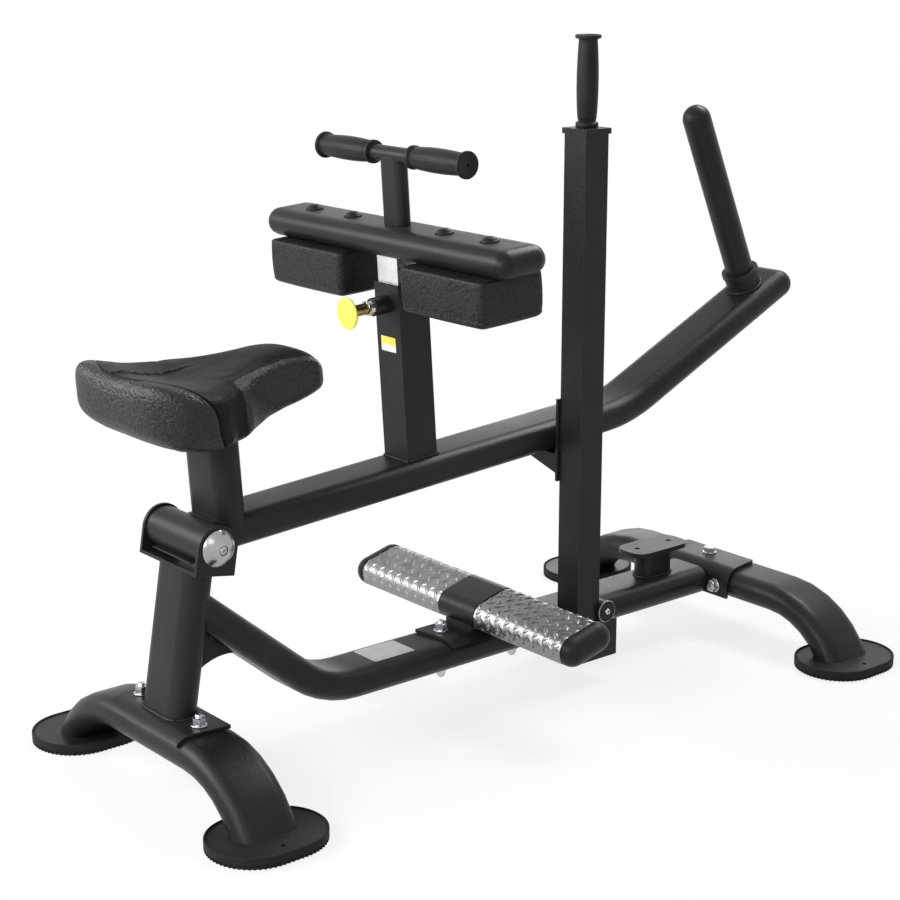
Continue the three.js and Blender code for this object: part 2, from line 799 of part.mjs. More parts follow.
// Pivot caps: polished domes with a socket screw in the middle.
function pivotCap() {
  const profile = [[0, 0], [pivotCapRadius, 0]];
  const screwAngle = Math.asin(capScrewRadius / pivotCapRadius);
  for (const step of upTo(domeSteps)) {
    const angle = (Math.PI / 2 - screwAngle) * step / domeSteps;
    profile.push([pivotCapRadius * Math.cos(angle), pivotCapHeight * Math.sin(angle)]);
  }
  const rim = profile[profile.length - 1][1];
  profile.push([capScrewRadius, rim - capScrewDepth], [0, rim - capScrewDepth]);
  return turnedY(profile);
}
for (const [name, side] of sides) {
  const cap = pivotCap().rotateX(side < 0 ? Math.PI : 0)
    .translate(0, side * (bracketOuterWidth / 2 + seatGap), pivotHeight);
  addPiece(machine, `pivot_cap_${name}`, toGeometry(toSolid(cap)), "chrome");
}

// Stop post: a short oval stub with a drilled plate on top.
const stopX = rearStabiliserX - stopFromRear;
const stopPlateTop = tubeTop + stopPlateRise;
function stopPost() {
  const plateLow = stopPlateTop - stopPlateThickness;
  const post = alongZ(ovalOutline(stopPostWidth, stopPostDepth), tubeTop + seatGap, plateLow + seatGap);
  const bore = alongZ(
    ovalOutline(stopPostWidth - 2 * tubeWall, stopPostDepth - 2 * tubeWall),
    tubeTop - cutOverrun,
    plateLow,
  );
  const plate = alongZ(
    roundedOutline(stopPlateLength, stopPlateWidth, stopPlateCorner),
    plateLow,
    stopPlateTop,
  );
  const holes = [-1, 1].map((end) => (
    turnedZ(rodProfile(stopHoleRadius, plateLow - cutOverrun, stopPlateTop + cutOverrun), smallSides)
      .translate(end * stopHoleSpacing / 2, 0, 0)));
  return cut(join(cut(post, bore), plate), ...holes).translate(stopX, 0, 0);
}
addPiece(machine, "stop_post", stopPost(), "blackCoat");

// Step: a saddle and riser on the base tube carry a tilted oval bar with tread covers and end caps.
const stepHeight = saddleTop + stepRise;
const stepSaddleLength = stepBoltSpacing + 2 * stepSaddleMargin;
const stepCapLength = stepDepth / 2 + stepCapBand;
const tiltStep = (geometry) => geometry.rotateY(-stepTilt).translate(stepX, 0, stepHeight);
const treadEndY = stepLength / 2 - stepCapLength;

function stepBracket() {
  const half = stepSaddleLength / 2;
  const saddle = wrappedSaddle(stepSaddleLength, stepSaddleReach, stepSaddleTaper)
    .rotateZ(Math.PI / 2)
    .translate(stepX, 0, 0);
  const riser = box(
    stepX - stepRiserLength / 2,
    stepX + stepRiserLength / 2,
    -stepRiserWidth / 2,
    stepRiserWidth / 2,
    saddleTop - saddleThickness / 2,
    stepHeight,
  );
  const barGrown = tiltStep(alongY(
    ovalOutline(stepWidth + 2 * seatGap, stepDepth + 2 * seatGap),
    -half,
    half,
  ));
  const riserFoot = box(
    stepX - half,
    stepX + half,
    -tubeWidth,
    tubeWidth,
    0,
    tubeTop + seatGap,
  );
  const holes = [-1, 1].map((end) => (
    boltHoleZ(stepX + end * stepBoltSpacing / 2, 0, tubeTop, saddleTop)));
  return cut(join(saddle, cut(riser, riserFoot)), barGrown, ...holes);
}
addPiece(machine, "step_bracket", stepBracket(), "blackCoat");

for (const [name, end] of [["front", -1], ["rear", 1]]) {
  const bolt = throughBolt(tubeBottom - seatGap, saddleTop + seatGap, studLength, longTail)
    .translate(stepX + end * stepBoltSpacing / 2, 0, 0);
  addPiece(machine, `step_bolt_${name}`, bolt, "zinc");
}

function stepBar() {
  const thin = ovalOutline(
    stepWidth - 2 * (treadThickness + seatGap),
    stepDepth - 2 * (treadThickness + seatGap),
  );
  const bore = ovalOutline(stepWidth - 2 * stepWall, stepDepth - 2 * stepWall);
  const end = treadEndY - seatGap;
  const skirtLow = -stepDepth / 2 + treadSkirt - seatGap;
  const full = alongY(ovalOutline(stepWidth, stepDepth), -end, end);
  const upper = (low, high) => box(-stepWidth, stepWidth, low, high, skirtLow, stepDepth);
  const core = alongY(thin, -end - cutOverrun, end + cutOverrun);
  const shell = cut(full, core);
  const skirt = cut(
    shell,
    upper(treadInnerY - seatGap, end + cutOverrun),
    upper(-end - cutOverrun, -treadInnerY + seatGap),
  );
  return cut(
    join(alongY(thin, -end, end), skirt),
    alongY(bore, -end - cutOverrun, end + cutOverrun),
  );
}
addPiece(machine, "step_bar", tiltStep(stepBar()), "blackCoat");

function stepTread(side) {
  const [low, high] = side > 0 ? [treadInnerY, treadEndY] : [-treadEndY, -treadInnerY];
  const inner = ovalOutline(stepWidth - 2 * treadThickness, stepDepth - 2 * treadThickness);
  return cut(
    alongY(ovalOutline(stepWidth, stepDepth), low, high),
    alongY(inner, low - cutOverrun, high + cutOverrun),
    box(-stepWidth, stepWidth, -stepLength, stepLength, -stepDepth, -stepDepth / 2 + treadSkirt),
  );
}

function stepCap(side) {
  const rings = roundedEndRings(stepWidth, stepDepth, stepDepth / 2 - seatGap, (point, out) => (
    new THREE.Vector3(point.x, side * (stepLength / 2 - stepDepth / 2 + out), point.y)));
  rings.unshift(ovalOutline(stepWidth, stepDepth)
    .map((point) => new THREE.Vector3(point.x, side * (treadEndY + seatGap), point.y)));
  return loft(rings);
}
for (const [name, side] of sides) {
  addPiece(machine, `step_tread_${name}`, tiltStep(stepTread(side)), "treadPlate");
  addPiece(machine, `step_cap_${name}`, tiltStep(toGeometry(toSolid(stepCap(side)))), "blackPlastic");
}

// Catch bracket: a box on the near side of the base tube with two ears for the catch pivot.
const catchX = stepX + catchBehindStep;
const catchY = -(tubeWidth / 2 + catchSideGap + catchSize / 2);
const catchPivotX = catchX + catchSize / 2 + catchSleeveRadius - catchSleeveBite;
const catchPivotHeight = baseTubeHeight + catchPivotRise;
const catchBracketX = catchX + catchBracketAhead;
const catchBracketBottom = baseTubeHeight - catchBracketDrop;
const catchOuterY = catchY - catchSize / 2 - seatGap;
const catchInnerY = catchY + catchSize / 2 + seatGap;
const catchBracketTop = catchPivotHeight - catchSleeveRadius - 2 * seatGap;
function catchEar(y) {
  const ear = [
    ...upTo(2 * quarterSteps).map((step) => {
      const angle = Math.PI * step / (2 * quarterSteps);
      return new THREE.Vector2(catchSleeveRadius * Math.cos(angle), catchSleeveRadius * Math.sin(angle));
    }),
    new THREE.Vector2(-catchSleeveRadius, -catchSleeveRadius - catchBracketWall),
    new THREE.Vector2(catchSleeveRadius, -catchSleeveRadius - catchBracketWall),
  ];
  return alongY(ear, y, y + catchEarThickness).translate(catchPivotX, 0, catchPivotHeight);
}

function catchBracket() {
  const outer = catchOuterY - catchEarThickness;
  const lowX = catchBracketX - catchBracketLength / 2;
  const highX = catchBracketX + catchBracketLength / 2;
  const shell = cut(
    box(lowX, highX, outer, outer + catchBracketReach, catchBracketBottom, catchBracketTop),
    box(
      lowX + catchBracketWall,
      highX - catchBracketWall,
      outer + catchEarThickness,
      outer + catchBracketReach + cutOverrun,
      catchBracketBottom + catchBracketWall,
      catchBracketTop - catchBracketWall,
    ),
  );
  return cut(
    join(shell, catchEar(outer), catchEar(catchInnerY)),
    bentTube(ovalTubeGrown, baseTubeStations, inLengthPlane),
    turnedY(rodProfile(runningBore(catchBoltRadius), outer - cutOverrun, 0))
      .translate(catchPivotX, 0, catchPivotHeight),
  );
}
addPiece(machine, "catch_bracket", catchBracket(), "blackCoat");

const catchBoltOuterY = catchOuterY - catchEarThickness - seatGap;
addPiece(machine, "catch_pivot_bolt", turnedY([
  [0, catchBoltOuterY - catchWasherThickness - catchBoltHeadHeight],
  [catchBoltHead, catchBoltOuterY - catchWasherThickness - catchBoltHeadHeight],
  [catchBoltHead, catchBoltOuterY - catchWasherThickness],
  [catchWasherRadius, catchBoltOuterY - catchWasherThickness],
  [catchWasherRadius, catchBoltOuterY],
  [catchBoltRadius, catchBoltOuterY],
  [catchBoltRadius, catchInnerY + catchEarThickness],
  [0, catchInnerY + catchEarThickness],
]).translate(catchPivotX, 0, catchPivotHeight), "chrome");

// Lever: everything below turns about the pivot, and is laid out along and square to the lever arm.
const lever = new THREE.Group();
lever.position.z = pivotHeight;
lever.rotation.y = -leverTilt;
machine.add(lever);

const leverTop = tubeDepth / 2;
const leverEndRadius = tubeDepth / 2 - barEndFlat;
const pivotTubeBoreRadius = pivotTubeRadius - pivotTubeWall;
addPiece(lever, "pivot_tube", cut(
  turnedY(rodProfile(pivotTubeRadius, -pivotTubeLength / 2, pivotTubeLength / 2)),
  turnedY(rodProfile(pivotTubeBoreRadius, -pivotTubeLength, pivotTubeLength)),
), "blackCoat");
const pivotTubeGrown = turnedY(rodProfile(
  (pivotTubeRadius + seatGap) / Math.cos(Math.PI / turnSides),
  -pivotTubeLength,
  pivotTubeLength,
));

function bearing(side) {
  const end = pivotTubeLength / 2;
  const bush = turnedY([
    [0, end - bearingLength], [pivotTubeBoreRadius - seatGap, end - bearingLength],
    [pivotTubeBoreRadius - seatGap, end + seatGap], [pivotTubeRadius, end + seatGap],
    [pivotTubeRadius, end + bearingFlange], [0, end + bearingFlange],
  ]);
  return cut(bush, turnedY(rodProfile(runningBore(axleRadius), 0, pivotTubeLength)))
    .rotateX(side < 0 ? Math.PI : 0);
}
for (const [name, side] of sides) {
  addPiece(lever, `pivot_bearing_${name}`, bearing(side), "brass");
}

const leverEndX = leverBendX + leverRearLength * Math.cos(leverRise);
const leverEndHeight = leverRearLength * Math.sin(leverRise);
const leverStations = bentPath([[0, 0], [leverBendX, 0], [leverEndX, leverEndHeight]], leverBendRadius);
const onRise = (point, out) => new THREE.Vector3(
  leverBendX + (leverRearLength - leverEndRadius + out) * Math.cos(leverRise) - point.y * Math.sin(leverRise),
  point.x,
  (leverRearLength - leverEndRadius + out) * Math.sin(leverRise) + point.y * Math.cos(leverRise),
);

function leverArm() {
  const body = bentTube(ovalTube, movedStations(leverStations, 0, -leverEndRadius - seatGap), inLengthPlane);
  const end = loft(roundedEndRings(tubeWidth, tubeDepth, leverEndRadius, onRise));
  const overlap = loft([-leverEndRadius, 0].map((out) => ovalTube.map((point) => onRise(point, out))));
  const bore = bentTube(ovalBore, movedStations(leverStations, 0, -2 * leverEndRadius), inLengthPlane);
  return cut(join(body, overlap, end), bore, pivotTubeGrown);
}
addPiece(lever, "lever_arm", leverArm(), "blackCoat");
const leverGrown = bentTube(ovalTubeGrown, leverStations, inLengthPlane);

// Seat post, pan and saddle cushion.
function seatPost() {
  const post = alongZ(
    uprightOval(tubeWidth, tubeDepth),
    leverTop - seatPostSink,
    leverTop + seatPostHeight,
    uprightOval(tubeWidth - 2 * tubeWall, tubeDepth - 2 * tubeWall),
  ).translate(seatPostX, 0, 0);
  return cut(post, leverGrown, pivotTubeGrown);
}
addPiece(lever, "seat_post", seatPost(), "blackCoat");

const seatPanLow = leverTop + seatPostHeight + seatGap;
const seatBase = seatPanLow + seatPanThickness + seatGap;
addPiece(lever, "seat_pan", alongZ(
  roundedOutline(seatPanLength, seatPanWidth, seatPanCorner),
  seatPanLow,
  seatPanLow + seatPanThickness,
).translate(seatPanX, 0, 0), "blackCoat");

// Each row: place along the seat, half width, underside, middle of the top and rise of the edges,
// as shares of the seat's length, half width and height.
const seatShares = [
  [0.000, 0.42, 0.47, 0.79, 0.03],
  [0.012, 0.64, 0.39, 0.89, 0.06],
  [0.035, 0.78, 0.31, 0.95, 0.11],
  [0.075, 0.90, 0.22, 0.96, 0.13],
  [0.130, 0.98, 0.14, 0.92, 0.14],
  [0.200, 1.00, 0.09, 0.86, 0.13],
  [0.270, 0.99, 0.05, 0.81, 0.12],
  [0.340, 0.93, 0.02, 0.80, 0.11],
  [0.400, 0.83, 0.01, 0.81, 0.09],
  [0.470, 0.69, 0.00, 0.82, 0.07],
  [0.531, 0.56, 0.01, 0.84, 0.05],
  [0.600, 0.45, 0.03, 0.86, 0.03],
  [0.668, 0.38, 0.08, 0.88, 0.01],
  [0.750, 0.35, 0.13, 0.89, 0.00],
  [0.845, 0.34, 0.18, 0.85, 0.00],
  [0.913, 0.31, 0.22, 0.77, 0.00],
  [0.962, 0.25, 0.26, 0.66, 0.00],
  [0.989, 0.17, 0.32, 0.56, 0.00],
  [1.000, 0.08, 0.39, 0.48, 0.00],
];
const seatRingPoints = 28;
const seatSideSquareness = 0.55;
const seatCrownSquareness = 0.5;

function seatCushion() {
  const bulge = (value, power) => Math.sign(value) * Math.abs(value) ** power;
  const rings = seatShares.map(([along, widthShare, lowShare, topShare, riseShare]) => {
    const half = widthShare * seatWidth / 2;
    const low = seatBase + lowShare * seatHeight;
    const top = seatBase + topShare * seatHeight;
    const middle = (low + top) / 2;
    return upTo(seatRingPoints - 1).map((step) => {
      const angle = 2 * Math.PI * step / seatRingPoints;
      const across = bulge(Math.cos(angle), seatSideSquareness);
      const up = bulge(Math.sin(angle), seatCrownSquareness);
      const crown = top + riseShare * seatHeight * across ** 2;
      return new THREE.Vector3(
        seatRearX + along * seatLength,
        half * across,
        up > 0 ? middle + up * (crown - middle) : middle + up * (middle - low),
      );
    });
  });
  return toGeometry(toSolid(loft(rings)));
}
addPiece(lever, "seat_cushion", seatCushion(), "leather");

// Thigh post with its pull pin housing.
const thighPostSize = innerPostSize + 2 * (slideGap + thighPostWall);
const pinHeight = thighPostTop - pinDrop;
const thighFaceX = thighPostX - thighPostSize / 2;
const square = (size) => rectangleOutline(size, size);
addPiece(lever, "thigh_post", cut(
  alongZ(
    square(thighPostSize),
    leverTop - thighPostSink,
    thighPostTop,
    square(thighPostSize - 2 * thighPostWall),
  ).translate(thighPostX, 0, 0),
  leverGrown,
  turnedX(rodProfile(pinRadius + boltHoleGap, thighFaceX - cutOverrun, thighPostX))
    .translate(0, 0, pinHeight),
), "blackCoat");

const housingFaceX = thighFaceX - seatGap;
const housingOuterX = housingFaceX - pinHousingLength;
addPiece(lever, "pin_housing", cut(
  turnedX(rodProfile(pinHousingRadius, housingOuterX, housingFaceX)),
  turnedX(rodProfile(pinHousingBore, housingOuterX + pinCollarLength, housingFaceX + cutOverrun)),
  turnedX(rodProfile(runningBore(pinRadius), housingOuterX - cutOverrun, housingFaceX)),
).translate(0, 0, pinHeight), "blackPlastic");

const pinTipX = thighFaceX + thighPostWall;
const pinCollarX = housingFaceX - seatGap - pinCollarLength;
const knobFaceX = housingOuterX - pinStemLength - knobThickness;
addPiece(lever, "pin_plunger", toGeometry(toSolid(turnedX([
  [0, housingOuterX - pinStemLength], [pinStemRadius, housingOuterX - pinStemLength],
  [pinStemRadius, housingOuterX - seatGap], [pinRadius, housingOuterX - seatGap],
  [pinRadius, pinCollarX], [pinCollarRadius, pinCollarX],
  [pinCollarRadius, pinCollarX + pinCollarLength], [pinRadius, pinCollarX + pinCollarLength],
  [pinRadius, pinTipX], [0, pinTipX],
]))).translate(0, 0, pinHeight), "brass");

addPiece(lever, "pin_knob", toGeometry(toSolid(turnedX([
  [0, knobFaceX],
  ...knobShares.map(([radial, along]) => [knobRadius * radial, knobFaceX + knobThickness * along]),
  [knobHub, knobFaceX + knobThickness * knobHubShare],
  [knobHub, knobFaceX + knobThickness - seatGap], [0, knobFaceX + knobThickness - seatGap],
]))).translate(0, 0, pinHeight), "yellow");

// Thigh carriage: the inner post, bar, pads and handlebar slide together in the thigh post.
const barLow = thighPostTop + innerPostShow;
const barTop = barLow + thighBarDepth;
const thighBarHeight = (barLow + barTop) / 2;
const thighBarEndRadius = thighBarDepth / 2 - barEndFlat;
const handlebarHeight = barTop + handlebarRise;
const gripLength = (handlebarLength - stemWidth) / 2 - gripGap;
addPiece(lever, "inner_post", cut(
  alongZ(
    square(innerPostSize),
    thighPostTop - innerPostSink,
    barLow - seatGap,
    square(innerPostSize - 2 * innerPostWall),
  ).translate(thighPostX, 0, 0),
  ...upTo(pinHoleCount - 1).map((step) => (
    turnedX(rodProfile(pinHoleRadius, thighPostX - innerPostSize, thighPostX), smallSides)
      .translate(0, 0, pinHeight + (1 - step) * pinHolePitch))),
), "chrome");

function thighBar() {
  const endY = thighBarLength / 2 - thighBarEndRadius;
  const rings = (side) => roundedEndRings(thighBarWidth, thighBarDepth, thighBarEndRadius, (point, out) => (
    new THREE.Vector3(point.x, side * (endY + out), point.y)));
  const skin = loft([...rings(-1).reverse(), ...rings(1)]);
  const bore = alongY(
    ovalOutline(thighBarWidth - 2 * thighBarWall, thighBarDepth - 2 * thighBarWall),
    -endY,
    endY,
  );
  const opening = alongZ(square(thighBarOpening), -thighBarDepth, 0);
  const bolts = sides.flatMap(([, side]) => [0, 1].map((step) => (
    turnedZ(rodProfile(padBoltRadius + boltHoleGap, -thighBarDepth, thighBarDepth), smallSides)
      .translate(0, side * (padBoltInnerY + step * padBoltSpacing), 0))));
  return cut(skin, bore, opening, ...bolts).translate(thighPostX, 0, thighBarHeight);
}
addPiece(lever, "thigh_bar", thighBar(), "blackCoat");

const padTop = barLow - seatGap;
function thighPad(side) {
  const stations = upTo(padCornerSteps).map((step) => {
    const angle = Math.PI / 2 * step / padCornerSteps;
    return [padCorner * (1 - Math.cos(angle)), padCorner * (1 - Math.sin(angle))];
  });
  const crownAt = (share) => padCrown * Math.sin(Math.PI * share);
  const rings = [
    ...stations,
    ...padBodyShares.map((share) => [share * padLength, 0]),
    ...[...stations].reverse().map(([along, inset]) => [padLength - along, inset]),
  ].map(([along, inset]) => {
    const crown = crownAt(along / padLength);
    const height = padThickness - padCrown - inset;
    const corner = Math.min(padCorner, height * padCornerShare);
    return roundedOutline(padWidth - 2 * inset, height, corner).map((point) => {
      const sideShare = 1 - (2 * point.x / padWidth) ** 2;
      const low = point.y < 0 ? crown * sideShare : 0;
      return new THREE.Vector3(
        thighPostX + point.x,
        side * (padInnerY + along),
        padTop - height / 2 + point.y - low,
      );
    });
  });
  return toGeometry(toSolid(loft(rings)));
}

function padCapBolt(y) {
  const profile = [
    [0, padTop + seatGap], [padBoltRadius, padTop + seatGap], [padBoltRadius, barTop + seatGap],
  ];
  for (const step of upTo(domeSteps)) {
    const angle = Math.PI / 2 * step / domeSteps;
    profile.push([padCapRadius * Math.cos(angle), barTop + seatGap + padCapHeight * Math.sin(angle)]);
  }
  return toGeometry(toSolid(turnedZ(profile, smallSides))).translate(thighPostX, y, 0);
}
for (const [name, side] of sides) {
  addPiece(lever, `thigh_pad_${name}`, thighPad(side), "leather");
  for (const [place, step] of [["inner", 0], ["outer", 1]]) {
    const y = side * (padBoltInnerY + step * padBoltSpacing);
    addPiece(lever, `pad_bolt_${name}_${place}`, padCapBolt(y), "blackPlastic");
  }
}

const handlebarGrown = turnedY(rodProfile(
  handlebarRadius + seatGap,
  -handlebarLength,
  handlebarLength,
)).translate(thighPostX, 0, handlebarHeight);
addPiece(lever, "handle_stem", cut(
  alongZ(
    uprightOval(stemWidth, stemDepth),
    barTop + seatGap,
    handlebarHeight,
    uprightOval(stemWidth - 2 * stemWall, stemDepth - 2 * stemWall),
  ).translate(thighPostX, 0, 0),
  handlebarGrown,
), "blackCoat");

addPiece(lever, "handlebar", cut(
  turnedY(rodProfile(handlebarRadius, -handlebarLength / 2 + gripEndWall, handlebarLength / 2 - gripEndWall)),
  turnedY(rodProfile(handlebarRadius - handlebarWall, -handlebarLength, handlebarLength)),
).translate(thighPostX, 0, handlebarHeight), "blackCoat");

// A moulded grip's outline: a ring at one end, swelling in the middle, a flange at the other end.
function gripProfile(length) {
  const bodyEnd = length - gripFlangeLength;
  const body = upTo(2 * domeSteps).map((step) => {
    const share = step / (2 * domeSteps);
    return [
      gripRadius + (gripBelly - gripRadius) * Math.sin(Math.PI * share),
      gripRingLength + share * (bodyEnd - gripRingLength),
    ];
  });
  return [
    [0, 0], [gripRing, 0], [gripRing, gripRingLength], ...body,
    [gripFlange, bodyEnd], [gripFlange, length], [0, length],
  ];
}

function handleGrip() {
  return cut(
    turnedY(gripProfile(gripLength), gripSides),
    turnedY(rodProfile(handlebarRadius + seatGap, -cutOverrun, gripLength - gripEndWall + seatGap)),
  );
}
for (const [name, side] of sides) {
  const grip = handleGrip()
    .translate(0, handlebarLength / 2 - gripLength, 0)
    .rotateX(side < 0 ? Math.PI : 0)
    .translate(thighPostX, 0, handlebarHeight);
  addPiece(lever, `handle_grip_${name}`, grip, "blackRubber");
}

// Weight horn, square to the rising end of the lever apart from its small lean.
const hornAlong = leverRearLength - hornFromEnd;
const horn = new THREE.Group();
horn.position.set(
  leverBendX + hornAlong * Math.cos(leverRise) - (leverTop + seatGap) * Math.sin(leverRise),
  0,
  hornAlong * Math.sin(leverRise) + (leverTop + seatGap) * Math.cos(leverRise),
);
horn.rotation.y = -leverRise + hornLean;
lever.add(horn);

const hornFoot = collarRadius * Math.tan(hornLean) + seatGap;
const hornPlugX = hornLength - hornRadius;
addPiece(horn, "weight_horn", cut(
  turnedZ(rodProfile(hornRadius, hornFoot, hornPlugX)),
  turnedZ(rodProfile(hornRadius - hornWall, 0, hornLength)),
), "blackCoat");

function hornCap() {
  const profile = [
    [0, hornPlugX - hornPlugDepth], [hornRadius - hornWall - seatGap, hornPlugX - hornPlugDepth],
    [hornRadius - hornWall - seatGap, hornPlugX + seatGap],
  ];
  for (const step of upTo(capDomeSteps)) {
    const angle = Math.PI / 2 * step / capDomeSteps;
    profile.push([hornRadius * Math.cos(angle), hornPlugX + seatGap + hornRadius * Math.sin(angle)]);
  }
  return toGeometry(toSolid(turnedZ(profile)));
}
addPiece(horn, "horn_cap", hornCap(), "blackRubber");

addPiece(horn, "horn_collar", cut(
  turnedZ([
    [0, hornFoot], [collarRadius, hornFoot], [collarRadius, collarHeight - collarLipHeight],
    [collarLipRadius, collarHeight - collarLipHeight], [collarLipRadius, collarHeight],
    [0, collarHeight],
  ]),
  turnedZ(rodProfile((hornRadius + seatGap) / Math.cos(Math.PI / turnSides), 0, hornLength)),
), "blackRubber");

// Safety catch: a square post hinged at its foot, with a shelf that holds the lever arm up.
function catchPost() {
  const low = catchBracketTop + seatGap;
  const tube = alongZ(square(catchSize), low, catchTop, square(catchSize - 2 * catchWall))
    .translate(catchX, catchY, 0);
  const cap = alongZ(
    square(catchSize + 2 * catchCapOverhang),
    catchTop - seatGap,
    catchTop + catchCapThickness,
  ).translate(catchX, catchY, 0);
  const sleeveEnd = catchSize / 2 - seatGap;
  const place = (geometry) => geometry.translate(catchPivotX, catchY, catchPivotHeight);
  const sleeve = place(turnedY(rodProfile(catchSleeveRadius, -sleeveEnd, sleeveEnd)));
  const bore = place(turnedY(rodProfile(runningBore(catchBoltRadius), -catchSize, catchSize)));
  const insideTop = catchPivotHeight + 2 * catchSleeveRadius;
  const inside = alongZ(square(catchSize - 2 * catchWall), low - cutOverrun, insideTop)
    .translate(catchX, catchY, 0);
  return cut(join(tube, cap, cut(sleeve, inside)), bore);
}
addPiece(machine, "catch_post", catchPost(), "blackCoat");

const catchGripLow = catchTop + catchCapThickness + seatGap;
addPiece(
  machine,
  "catch_grip",
  toGeometry(toSolid(turnedZ(gripProfile(catchGripLength), gripSides)))
    .translate(catchX, catchY, catchGripLow),
  "blackRubber",
);

// The shelf rises to meet the lever arm at its rear edge, so that it clears the arm as it swings away.
function catchShelf() {
  const plateY = catchY + catchSize / 2 + seatGap;
  const rearX = catchX + shelfDepth / 2;
  const armLow = pivotHeight + rearX * Math.tan(leverTilt) - leverTop / Math.cos(leverTilt) - seatGap;
  const plate = box(
    catchX - catchSize / 2 - strikePlateOverhang,
    catchX + catchSize / 2 + strikePlateOverhang,
    plateY,
    plateY + strikePlateThickness,
    armLow - strikePlateDrop,
    armLow + strikePlateRise,
  );
  const shelf = box(-shelfDepth, 0, plateY, plateY + shelfReach, -shelfThickness, 0);
  const web = alongX([
    new THREE.Vector2(plateY, 0),
    new THREE.Vector2(plateY, -shelfWebDrop),
    new THREE.Vector2(plateY + shelfReach, -shelfTipDrop),
    new THREE.Vector2(plateY + shelfReach, 0),
  ], -shelfDepth, -shelfDepth + shelfWeb);
  return join(plate, join(shelf, web).rotateY(-shelfTilt).translate(rearX, 0, armLow));
}
addPiece(machine, "catch_shelf", catchShelf(), "blackCoat");

// Stand the origin on the floor under the middle of the machine's box.
const extent = new THREE.Box3().setFromObject(machine);
machine.position.x = -(extent.min.x + extent.max.x) / 2;

export default machine;
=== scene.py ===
# A plate-loaded seated calf raise machine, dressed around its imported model, in metres.
# X runs from the seat towards the weight horn, Y across the machine and Z up from the floor.

import random
from math import asin, copysign, cos, degrees, exp, log, pi, radians, sin, sqrt, tan

import bmesh
import bpy
from mathutils import Matrix, Vector, noise


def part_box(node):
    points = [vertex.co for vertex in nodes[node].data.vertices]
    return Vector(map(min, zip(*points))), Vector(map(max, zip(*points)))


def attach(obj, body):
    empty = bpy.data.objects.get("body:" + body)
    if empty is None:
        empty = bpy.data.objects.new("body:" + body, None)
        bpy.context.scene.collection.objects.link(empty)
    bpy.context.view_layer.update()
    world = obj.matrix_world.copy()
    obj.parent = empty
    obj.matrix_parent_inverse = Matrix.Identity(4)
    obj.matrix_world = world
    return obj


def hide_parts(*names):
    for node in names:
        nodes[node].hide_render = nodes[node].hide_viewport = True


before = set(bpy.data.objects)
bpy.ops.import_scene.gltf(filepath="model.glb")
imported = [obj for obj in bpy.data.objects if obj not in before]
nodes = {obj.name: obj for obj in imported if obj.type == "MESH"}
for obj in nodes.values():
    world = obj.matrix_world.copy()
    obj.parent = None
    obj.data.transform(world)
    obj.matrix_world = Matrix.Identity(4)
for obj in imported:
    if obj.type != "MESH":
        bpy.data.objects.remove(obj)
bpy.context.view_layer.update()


# The studio
# A seamless white floor and soft lamps above, beside and behind the machine. The camera stands
# where the photographer stood, off the near side of the seat end, and looks down a little.
FLOOR_REACH = 9.0
FLOOR_GLOW = 0.8
FLOOR_FADE = (0.75, 1.7)
FLOOR_COLOUR = (0.86, 0.86, 0.86, 1)
WORLD_LIGHT = 0.2
CAMERA_PLACE = (-2.06389, -2.388, 1.2766)
CAMERA_TURN = (radians(90 - 15.19), 0, radians(-39.76))
CAMERA_LENS = 78.746
CAMERA_SENSOR = 36
CAMERA_REACH = 60
# Each lamp's place, target, width, height and power.
LAMPS = {
    "lamp_left": ((-2.7, 1.5, 1.75), (0.0, 0.0, 0.5), 2.8, 1.3, 115),
    "lamp_left_front": ((-3.0, -0.9, 1.5), (-0.2, 0.0, 0.4), 1.2, 1.2, 38),
    "lamp_above": ((1.6, 0.1, 2.5), (0.0, 0.0, 0.4), 1.3, 1.0, 56),
    "lamp_front": ((-1.9, -2.6, 2.3), (-0.3, 0.0, 0.4), 1.4, 1.4, 9),
    "lamp_rear": ((2.15, 1.9, 0.8), (0.5, 0.0, 0.2), 1.0, 0.6, 6),
}


def feed(tree, socket, value):
    """Gives a socket a steady value, or links it to the socket that feeds it."""
    if isinstance(value, bpy.types.NodeSocket):
        tree.links.new(value, socket)
    else:
        socket.default_value = value


def add_node(tree, kind, inputs=None, **settings):
    """A node with its settings and what its inputs get."""
    node = tree.nodes.new(kind)
    for label, value in settings.items():
        setattr(node, label, value)
    for label, value in (inputs or {}).items():
        feed(tree, node.inputs[label], value)
    return node


def reckoned(tree, operation, first, second, clamp=False):
    """A value worked out from two others."""
    return add_node(tree, "ShaderNodeMath", {0: first, 1: second},
                    operation=operation, use_clamp=clamp).outputs[0]


def spread(tree, value, low, high, to_low=0.0, to_high=1.0, kind="LINEAR"):
    """Maps a value from one range to another."""
    return add_node(tree, "ShaderNodeMapRange", {
        "Value": value, "From Min": low, "From Max": high, "To Min": to_low, "To Max": to_high,
    }, interpolation_type=kind).outputs["Result"]


def seen_white(tree):
    """1 for the rays that should see the plain white background."""
    rays = add_node(tree, "ShaderNodeLightPath").outputs
    seen = rays["Is Camera Ray"]
    for kind in ("Is Glossy Ray", "Is Transmission Ray"):
        seen = reckoned(tree, "MAXIMUM", seen, rays[kind])
    return seen


